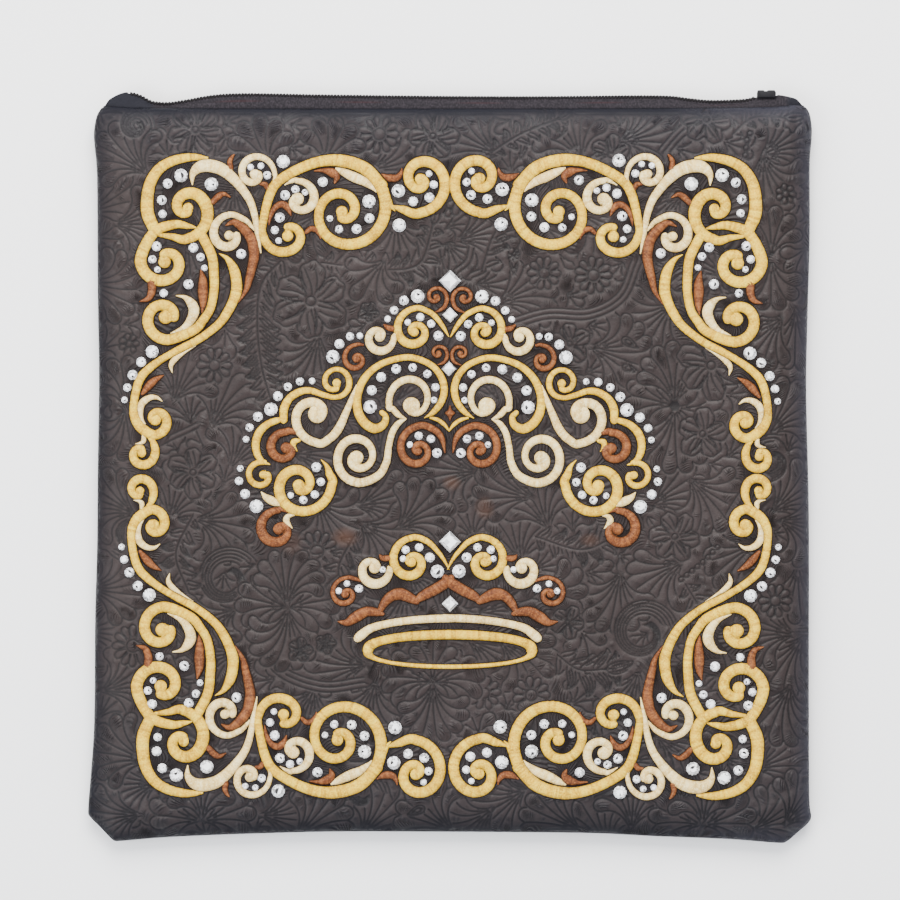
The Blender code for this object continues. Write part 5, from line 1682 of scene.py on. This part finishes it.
@dataclass(frozen=True)
class LeatherFinish:
    """Dark tooled leather: painted shade in its grooves and hair lines, paler on its ridges from wear and a
    painted highlight, painted shade and a bluish painted reflection at its edges, painted light that makes
    it greyer near the top and darker towards the bottom, and stained in places.
    """

    base: str = "1b1413"
    # The dark and pale colours give random tone, and also the painted shade in grooves and the painted
    # highlight on ridges and hair lines.
    dark: str = "080607"
    pale: str = "362d2c"
    # The top and low colours are painted light: cooler and greyer near the top, darker towards the bottom,
    # as light falls from above.
    top: str = "17151a"
    low: str = "101016"
    # The edge colours are painted shade with a bluish painted reflection where the leather rolls away at its
    # edges, paler towards the right side.
    edge: str = "16171d"
    far_edge_painted_light: str = "303038"
    stain: str = "4e3222"
    roughness: float = 0.5
    shine: float = 0.2

    def material(self) -> Material:
        """Makes the leather's material.

        Returns:
            The material.
        """
        shader = Shader("tooled_leather")
        tool = shader.mark("tool")
        place = shader.node("ShaderNodeSeparateXYZ", {0: shader.places()}).outputs
        # Painted light: greyer near the top, darker towards the bottom.
        tone = shader.tinted(rgb(self.base), self.top, place["Y"], 0.125, 0.165)
        tone = shader.tinted(tone, self.low, place["Y"], -0.09, -0.165, 0.8)
        tone = shader.tinted(tone, self.pale, shader.noise(26, 3), 0.45, 0.75, 0.3)
        # Paler on the raised ridges, partly wear and partly a painted highlight; darker in the cut grooves,
        # a painted shade.
        tone = shader.tinted(tone, self.pale, tool, 0.03, 0.22, 0.35)
        tone = shader.tinted(tone, self.dark, tool, -0.1, -0.8, 0.75)
        tone = shader.tinted(tone, self.dark, shader.noise(420, 3), 0.52, 0.7, 0.35)
        tone = shader.tinted(tone, self.stain, shader.mark("stain"), 0.25, 1.0, 0.6)
        # Painted shade and a bluish painted reflection near the rolled edges, paler towards the right side.
        edge = shader.tinted(rgb(self.edge), self.far_edge_painted_light, place["X"], 0.1, 0.16)
        tone = shader.mixed(shader.ranged(shader.mark("edge"), 0.25, 1.0, 0.0, 0.85), tone, edge)
        hair, rim = shader.leaves(0.015, 0.0015)
        hair = shader.sum("MULTIPLY", hair, shader.mark("free"))
        # Painted shade and highlight along the curled hair lines.
        tone = shader.tinted(tone, self.dark, hair, 0.0, -1.0, 0.22)
        tone = shader.tinted(tone, self.pale, hair, 0.0, 1.0, 0.22)
        # Painted shade in the grooves along each field's rim.
        groove = shader.sum("MULTIPLY", shader.ranged(rim, 0.07, 0.0), shader.mark("free"))
        tone = shader.tinted(tone, self.dark, groove, 0.0, 1.0, 0.55)
        rim = shader.ranged(rim, 0.0, 0.3)
        grain = shader.node("ShaderNodeTexVoronoi", {"Vector": shader.places(), "Scale": 1100.0})
        rough = shader.bump(grain.outputs["Distance"], 0.0001, 0.4)
        rough = shader.bump(shader.noise(380, 4), 0.0003, 0.5, rough)
        rough = shader.bump(hair, 0.0003, 0.7, rough)
        rough = shader.bump(shader.sum("MULTIPLY", rim, shader.mark("free")), 0.0012, 0.5, rough)
        shine = shader.ranged(shader.mark("edge"), 0.3, 0.9, self.shine, 0.03)
        dull = shader.ranged(shader.noise(60, 2), 0.3, 0.7, self.roughness - 0.06, self.roughness + 0.1)
        shader.look({"Base Color": tone, "Normal": rough, "Specular IOR Level": shine, "Roughness": dull})
        return shader.material


@dataclass(frozen=True)
class ThreadFinish:
    """Satin stitch of one thread: a shine across it, a shade for each stitch, fine grain with painted
    glints, painted shade on the stroke's sides and a dark outline that is also a painted contact shadow.
    """

    name: str
    base: str
    pale: str
    deep: str
    # The outline colour, which is also a painted contact shadow on the leather around each stroke.
    border: str = "1e130d"
    roughness: float = 0.42
    stitch: float = 0.42

    def material(self) -> Material:
        """Makes the thread's material.

        Returns:
            The material.
        """
        shader = Shader(self.name)
        shade = shader.mark("shade")
        tone = shader.tinted(rgb(self.base), self.pale, shade, 0.5, 1.0, 0.7)
        tone = shader.tinted(tone, self.deep, shade, 0.5, 0.0, 0.55)
        tone = shader.tinted(tone, self.deep, shader.noise(110, 1), 0.5, 0.75, 0.3)
        # Fine dark grain, then pale speckle that is painted glints of the thread.
        tone = shader.tinted(tone, self.deep, shader.noise(1050, 2), 0.46, 0.62, 0.3)
        tone = shader.tinted(tone, self.pale, shader.noise(1250, 1), 0.5, 0.65, 0.5)
        border = shader.mark("border")
        # Painted shade on the stroke's rolled sides, then the dark outline that is also a painted contact
        # shadow.
        tone = shader.tinted(tone, self.deep, border, 0.05, 0.3, 0.4)
        tone = shader.tinted(tone, self.border, border, 0.32, 0.65)
        wave = shader.sum("SINE", shader.sum("MULTIPLY", shader.mark("way"), TURN / self.stitch))
        rough = shader.bump(wave, 0.00006, 0.8)
        rough = shader.bump(shader.noise(1500, 2), 0.00012, 0.6, rough)
        shader.look({"Base Color": tone, "Roughness": self.roughness, "Normal": rough, "Sheen Weight": 0.05,
                     "Sheen Roughness": 0.4, "Specular IOR Level": 0.2})
        return shader.material


@dataclass(frozen=True)
class CrystalFinish:
    """Foil-backed glass: facets that are mostly bright, and some that are dark, as painted reflections."""

    bright: str = "fdfdff"
    dark: str = "1c1917"
    roughness: float = 0.2

    def material(self) -> Material:
        """Makes the crystals' material.

        Returns:
            The material.
        """
        shader = Shader("crystal_glass")
        # Painted reflections: dark to bright by each facet's shade.
        tone = shader.tinted(rgb(self.dark), self.bright, shader.mark("shade"), 0.1, 0.7)
        shader.look({"Base Color": tone, "Roughness": self.roughness, "Coat Weight": 0.5,
                     "Coat Roughness": 0.03, "Specular IOR Level": 0.5})
        return shader.material


@dataclass(frozen=True)
class ClothFinish:
    """Woven zip tape, with a bluish leathery end where it is sewn in."""

    name: str
    base: str
    pale: str
    ear: str = "1d1d22"
    line: str = "3c1a1a"
    weave: float = 1500.0
    stretch: Triple = (1, 0.4, 1)

    def material(self) -> Material:
        """Makes the tape's material.

        Returns:
            The material.
        """
        shader = Shader(self.name)
        weave = shader.noise(self.weave, 1, self.stretch)
        tone = shader.tinted(rgb(self.base), self.pale, weave, 0.4, 0.7)
        tone = shader.tinted(tone, self.ear, shader.mark("ear"), 0.2, 0.8)
        tone = shader.tinted(tone, self.line, shader.mark("line"), 0.3, 0.9, 0.5)
        rough = shader.bump(weave, 0.0002, 0.8)
        rough = shader.bump(shader.noise(130, 2), 0.003, shader.mark("ear"), rough)
        shader.look({"Base Color": tone, "Roughness": 0.85, "Normal": rough, "Specular IOR Level": 0.08})
        return shader.material


@dataclass(frozen=True)
class PlainFinish:
    """A hard finish of one colour with a fine unevenness."""

    name: str
    base: str
    roughness: float
    mottled: float = 0.6
    shine: float = 0.5

    def material(self) -> Material:
        """Makes the finish's material.

        Returns:
            The material.
        """
        shader = Shader(self.name)
        darker = (*(part * 0.6 for part in rgb(self.base)[:3]), 1.0)
        spots = shader.ranged(shader.noise(500, 3), 0.45, 0.7, 0.0, self.mottled)
        tone = shader.mixed(spots, rgb(self.base), darker)
        shader.look({"Base Color": tone, "Roughness": self.roughness, "Specular IOR Level": self.shine,
                     "Normal": shader.bump(shader.noise(700, 3), 0.00008, 0.6 * self.mottled)})
        return shader.material


class Block(NamedTuple):
    """A rounded block of the slider: its middle on the chart, its half sizes and its rounding."""

    x: float
    y: float
    z: float
    half_x: float
    half_y: float
    half_z: float
    rounding: float


# The slider's two plates, its post, its two shoulders, its link and its pull
SLIDER_BLOCKS: Sequence[Block] = (
    Block(148.2, 176.9, 9.5, 4.4, 1.6, 0.8, 0.7), Block(148.2, 176.9, 5.5, 4.4, 1.6, 0.8, 0.7),
    Block(149.4, 177, 7.5, 1.6, 1.5, 2.6, 0.5), Block(145.6, 178.1, 7.5, 1.7, 0.9, 1.9, 0.6),
    Block(150.4, 178.2, 7.5, 1.9, 0.8, 2.2, 0.6), Block(151, 175, 3.8, 0.8, 2.1, 3.3, 0.4),
    Block(138.5, 171.5, 1.1, 12.9, 2.3, 0.6, 0.45))


@dataclass
class Zip:
    """The closed zip: two woven tapes, the coil's loops, and the slider with its pull."""

    tape: float = 0.9
    underlap: float = 4.0
    lift: float = 0.55
    start: float = -162.4
    stop: float = 165.8
    coil_start: float = -150.0
    coil_stop: float = 143.2
    slider_stop: float = 152.7
    coil_radius: float = 1.0
    wire: float = 0.6
    wire_sides: int = 6
    core: float = 0.45
    pitch: float = 1.5
    gap: float = 0.3
    ridge_wide: float = 1.5
    ridge_off: float = 0.35
    ridge_thick: float = 0.3
    ripple: float = 0.12
    rows: int = 325
    columns: int = 13
    left_ear: float = -136.0
    right_ear: float = 156.0

    def crest(self, x: Array) -> Array:
        """Where the tapes end: under the coil, and at the ridge past its ends.

        Args:
            x: places along the zip.

        Returns:
            Their chart heights.
        """
        inside = np.minimum(x - self.coil_start + self.gap, self.slider_stop + self.gap - x)
        share = np.clip(inside / 2.0 + 1.0, 0.0, 1.0)
        return CHART.ridge_height(x) - share * (2 * self.coil_radius + self.gap)

    def tape_piece(self, name: str, node: str, front: bool, finish: Material) -> Piece:
        """One tape, from under its leather up to the ridge.

        Args:
            name: its name.
            node: the node it stands for.
            front: whether it is the tape in front.
            finish: its material.

        Returns:
            The tape.
        """
        side = 1 if front else -1
        panel = CHART.front if front else CHART.back
        x = np.linspace(self.start, self.stop, self.rows)
        edge = np.interp(x, CHART.top[:, 0], CHART.top[:, 1])
        knots_y, knots_z = [], []
        for down in (-self.underlap, -CHART.leather, self.lift):
            y = edge + down
            knots_y.append(y)
            knots_z.append(panel(x, np.minimum(y, edge - CHART.leather), CHART.leather) - side * self.lift)
        knots_y.append(self.crest(x))
        knots_z.append(np.full(len(x), CHART.seam_height + side * (self.gap / 2 + self.tape)))
        knots_y.append(np.minimum(self.crest(x) + self.ridge_wide, CHART.ridge_height(x)))
        knots_z.append(np.full(len(x), CHART.seam_height + side * self.ridge_off))
        share = np.linspace(0, 4, self.columns)
        y = np.stack([self.blended(knots_y, t) for t in share], axis=1)
        z = np.stack([self.blended(knots_z, t) for t in share], axis=1)
        waves = np.sin(x / 7 + 0.8 * np.sin(x / 17))[:, None]
        z = z + side * (self.ripple * waves * np.sin(share * math.pi / 4))
        thick = np.interp(share, (0, 2, 4), (self.tape, self.tape, self.ridge_thick))
        skins = [np.stack([np.repeat(x[:, None], self.columns, axis=1), y, height], axis=-1)
                 for height in (z, z - side * thick)]
        ring = np.concatenate([skins[0], skins[1][:, ::-1]], axis=1)
        points = CHART.world(*ring.reshape(-1, 3).T)
        count = ring.shape[1]
        faces = grid_faces(len(x), count, around=True)
        half = np.arange(self.columns - 1)
        lids = [np.column_stack([half, half + 1, count - 2 - half, count - 1 - half]) + row
                for row in (0, (len(x) - 1) * count)]
        lids[1] = lids[1][:, ::-1]
        faces = np.vstack([faces, *lids])
        made = solid(name, points, [faces if front else faces[:, ::-1]])
        spread = np.repeat(x, count)
        ear = (np.clip((self.left_ear - spread) / 6.0, 0, 1)
               + np.clip((spread - self.right_ear) / 4.0, 0, 1))
        near = np.tile(np.concatenate([share, share[::-1]]), len(x))
        line = np.exp(-((near - 2.75) / 0.12) ** 2) * (0.5 + 0.5 * np.sin(spread / 9.0))
        painted(made, "ear", ear)
        painted(made, "line", line * (1 - np.clip(ear, 0, 1)))
        made.data.materials.append(finish)
        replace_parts(made, node)
        return made

    @staticmethod
    def blended(knots: Sequence[Array], t: float) -> Array:
        """A place between knots: 0 is the first, 1 the next, and so on."""
        first = min(int(t), len(knots) - 2)
        return knots[first] + (t - first) * (knots[first + 1] - knots[first])

    def coil_piece(self, finish: Material) -> Piece:
        """The coil: one continuous nylon wire, wound on and on over its core.

        Args:
            finish: its material.

        Returns:
            The coil.
        """
        turns = (self.coil_stop - self.coil_start) / self.pitch
        angle = np.linspace(0, turns * TURN, int(turns * 12))
        fit = 1 - 2 * self.wire / (turns * self.pitch)
        x = self.coil_start + self.wire + angle / TURN * self.pitch * fit
        reach = self.coil_radius - self.wire * 0.75
        middle = np.column_stack([x, CHART.ridge_height(x) - self.coil_radius + reach * np.cos(angle),
                                  CHART.seam_height + reach * np.sin(angle)])
        ahead = np.gradient(middle, axis=0)
        ahead /= np.linalg.norm(ahead, axis=1)[:, None]
        out = np.column_stack([np.zeros(len(x)), np.cos(angle), np.sin(angle)])
        out -= ahead * (out * ahead).sum(1)[:, None]
        out /= np.linalg.norm(out, axis=1)[:, None]
        beside = np.cross(ahead, out)
        spin = np.arange(self.wire_sides) * TURN / self.wire_sides
        wire = (middle[:, None] + self.wire * (np.cos(spin)[None, :, None] * out[:, None]
                                               + np.sin(spin)[None, :, None] * beside[:, None]))
        core_x = np.linspace(self.coil_start + 0.3, self.coil_stop - 0.3, 150)
        core_y = CHART.ridge_height(core_x) - self.coil_radius
        core = np.stack([np.repeat(core_x[:, None], self.wire_sides, axis=1),
                         core_y[:, None] + self.core * np.cos(spin),
                         np.tile(CHART.seam_height + self.core * np.sin(spin), (len(core_x), 1))], axis=-1)
        points = np.vstack([wire.reshape(-1, 3), core.reshape(-1, 3)])
        faces = np.vstack([grid_faces(len(x), self.wire_sides, around=True),
                           grid_faces(len(core_x), self.wire_sides, around=True) + len(x) * self.wire_sides])
        made = solid("zip_coil_loops", CHART.world(*points.T), [faces])
        made.data.materials.append(finish)
        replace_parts(made, "zip_coil")
        return made

    @staticmethod
    def slider_piece(finish: Material) -> Piece:
        """The slider, with its link and the pull that hangs behind the bag.

        Args:
            finish: its material.

        Returns:
            The slider.
        """
        mesh = bmesh.new()
        for block in SLIDER_BLOCKS:
            middle = CHART.world(np.array([block.x]), np.array([block.y]), np.array([block.z]))[0]
            size = [2 * half * MM for half in (block.half_x, block.half_y, block.half_z)]
            place = Matrix.Translation(middle) @ Matrix.Diagonal((*size, 1.0))
            corners = bmesh.ops.create_cube(mesh, size=1.0, matrix=place)["verts"]
            edges = list({edge for corner in corners for edge in corner.link_edges})
            bmesh.ops.bevel(mesh, geom=edges, offset=block.rounding * MM, segments=3, profile=0.5,
                            affect="EDGES")
        mesh.verts.index_update()
        corners = np.array([corner.co for corner in mesh.verts])
        faces = [np.array([[corner.index for corner in face.verts]]) for face in mesh.faces]
        mesh.free()
        made = solid("slider_and_pull", corners, faces)
        made.data.materials.append(finish)
        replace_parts(made, "zip_slider")
        return made


@dataclass
class Studio:
    """The floor, the lights and the camera straight above."""

    distance: float = 3.4
    wide: float = 0.4203
    front_height: float = 0.0175
    middle: tuple[float, float] = (0.0, 0.0077)

    def build(self) -> None:
        """Lays the floor, hangs the lights and sets the camera."""
        self.floor()
        self.light("sky_panel", (0.05, 1.05, 1.25), 1.1, 60.0, (1.0, 0.98, 0.95))
        self.light("side_panel", (-1.2, -0.4, 1.3), 1.2, 26.0, (0.94, 0.97, 1.0))
        world = bpy.data.worlds.new("studio")
        world.use_nodes = True
        shade = world.node_tree.nodes["Background"]
        shade.inputs["Color"].default_value = (0.93, 0.95, 1.0, 1.0)
        shade.inputs["Strength"].default_value = 1.6
        bpy.context.scene.world = world
        data = bpy.data.cameras.new("camera")
        data.lens = data.sensor_width * self.distance / self.wide
        camera = bpy.data.objects.new("camera", data)
        camera.location = (*self.middle, self.distance + self.front_height)
        bpy.context.scene.collection.objects.link(camera)
        bpy.context.scene.camera = camera

    @staticmethod
    def floor() -> None:
        """A plain pale floor."""
        data = bpy.data.meshes.new("floor")
        data.from_pydata([(-3, -3, 0), (3, -3, 0), (3, 3, 0), (-3, 3, 0)], [], [(0, 1, 2, 3)])
        made = bpy.data.objects.new("floor", data)
        made.location.z = -0.0004
        bpy.context.scene.collection.objects.link(made)
        made.data.materials.append(PlainFinish("pale_floor", "fcfcfc", 0.95, mottled=0.0).material())

    @staticmethod
    def light(name: str, place: Triple, size: float, power: float, colour: Triple) -> None:
        """A square soft light that faces the bag.

        Args:
            name: its name.
            place: where it hangs, in metres.
            size: its width, in metres.
            power: its power, in watts.
            colour: its colour.
        """
        data = bpy.data.lights.new(name, "AREA")
        data.size = size
        data.energy = power
        data.color = colour
        made = bpy.data.objects.new(name, data)
        made.location = place
        made.rotation_euler = (-Vector(place)).to_track_quat("-Z", "Y").to_euler()
        bpy.context.scene.collection.objects.link(made)


@dataclass
class Bag:
    """The whole bag."""

    rng: np.random.Generator = field(default_factory=lambda: np.random.default_rng(17))
    stitches: Raster = field(default_factory=Raster)
    cut_cell: float = 0.3
    cut_step: float = 1.2
    cut_reach: float = 2.4

    def build(self) -> None:
        """Dresses every node of the frame, from the embroidery down to the leather under it."""
        self.embroider()
        Crystals(self.stitches, self.rng).build(CrystalFinish().material())
        self.leather()
        self.zip()

    def embroider(self) -> None:
        """Sews the frame, the tiara and the crown."""
        finishes = {
            GOLD: ThreadFinish("gold_stitch", "e2b11a", "f4d448", "76500f").material(),
            CREAM: ThreadFinish("cream_stitch", "efcd7e", "fdf0bc", "9a7c42").material(),
            COPPER: ThreadFinish("copper_stitch", "6c3b1b", "9c6234", "34180a").material(),
        }
        tiara = {"body": (TIARA_BODY, GOLD), "vine": (TIARA_VINE, CREAM), "heart": (TIARA_HEART, COPPER),
                 "bud": (TIARA_BUD, COPPER), "hook": (TIARA_HOOK, COPPER), "end": (TIARA_END, GOLD)}
        sewn: list[tuple[str, Motif, tuple[Place, ...], Thread]] = []
        for quarter in QUARTERS:
            sewn.append((f"frame_{quarter.name}", FRAME, (quarter,), GOLD))
        for half in HALVES:
            for part, (motif, main) in tiara.items():
                sewn.append((f"tiara_{part}_{half.name}", motif, (half,), main))
        sewn += [("tiara_crest", TIARA_CREST, HALVES, GOLD), ("crown_crest", CROWN_CREST, HALVES, GOLD),
                 ("crown_waved_rim", WAVED_RIM, HALVES, COPPER), ("crown_far_rim", FAR_RIM, HALVES, CREAM),
                 ("crown_ring", self.ring(), HALVES[:1], GOLD)]
        for node, motif, places, main in sewn:
            slot = f"{main.value}_thread"
            Embroidery(node, motif, places, self.stitches, slot, self.rng).build(finishes)

    @staticmethod
    def ring() -> Motif:
        """The crown's oval ring: one closed stroke, thin on its near side, because its hole lies low.

        Returns:
            The ring as a part of the design.
        """
        angle = np.linspace(0, TURN, 49)
        along, up = np.cos(angle), np.sin(angle)
        middle_x = (RING_OUTER[0] + RING_INNER[0]) / 2
        middle_y = (RING_OUTER[1] + RING_INNER[1]) / 2
        side_x = (RING_OUTER[0] - RING_INNER[0]) * along
        side_y = (RING_OUTER[1] - RING_INNER[1]) * up + RING_DROP
        out_x, out_y = middle_y * along, middle_x * up
        wide = np.minimum((side_x * out_x + side_y * out_y) / np.hypot(out_x, out_y), 5.6) - 0.6
        blunt = np.sign(up) * np.abs(up) ** 0.8
        x = RING_MIDDLE[0] + middle_x * along
        y = RING_MIDDLE[1] - RING_DROP / 2 + middle_y * blunt
        return Motif([], [Leaf(GOLD, list(zip(x, y, wide)))])

    def leather(self) -> None:
        finish = LeatherFinish().material()
        tooling = Tooling(self.rng)
        tooling.draw(self.stitches)
        cuts = [spaced(line, self.cut_step) for line in tooling.lines]
        apart = Raster(cell=self.cut_cell, fill=FAR)
        for line in cuts:
            apart.nearest(*spaced(line, self.cut_cell).T, self.cut_reach)
        LOG.info("tooling: %d lines, %.1f m", len(cuts), tooling.length() * MM)
        front = LeatherShell("leather_front", "front_panel", True, cuts, apart, self.rng).build(finish)
        plain = Raster(cell=self.cut_cell, fill=FAR)
        back = LeatherShell("leather_back", "back_panel", False, [], plain, self.rng, grid=3.2).build(finish)

    def zip(self) -> None:
        zipper = Zip()
        cloth = ClothFinish("tape_weave", "1d1b1e", "2c282c").material()
        for name, front in (("tape_front", True), ("tape_back", False)):
            tape = zipper.tape_piece(name, f"zip_{name}", front, cloth)
        zipper.coil_piece(PlainFinish("coil_nylon", "151214", 0.6, shine=0.15).material())
        zipper.slider_piece(PlainFinish("slider_metal", "18171a", 0.6, shine=0.12).material())


def main() -> None:
    """Builds the scene."""
    logging.basicConfig(level=logging.INFO, format="%(name)s %(message)s")
    Studio().build()
    Bag().build()
    bpy.context.view_layer.update()


if __name__ == "__main__":
    main()
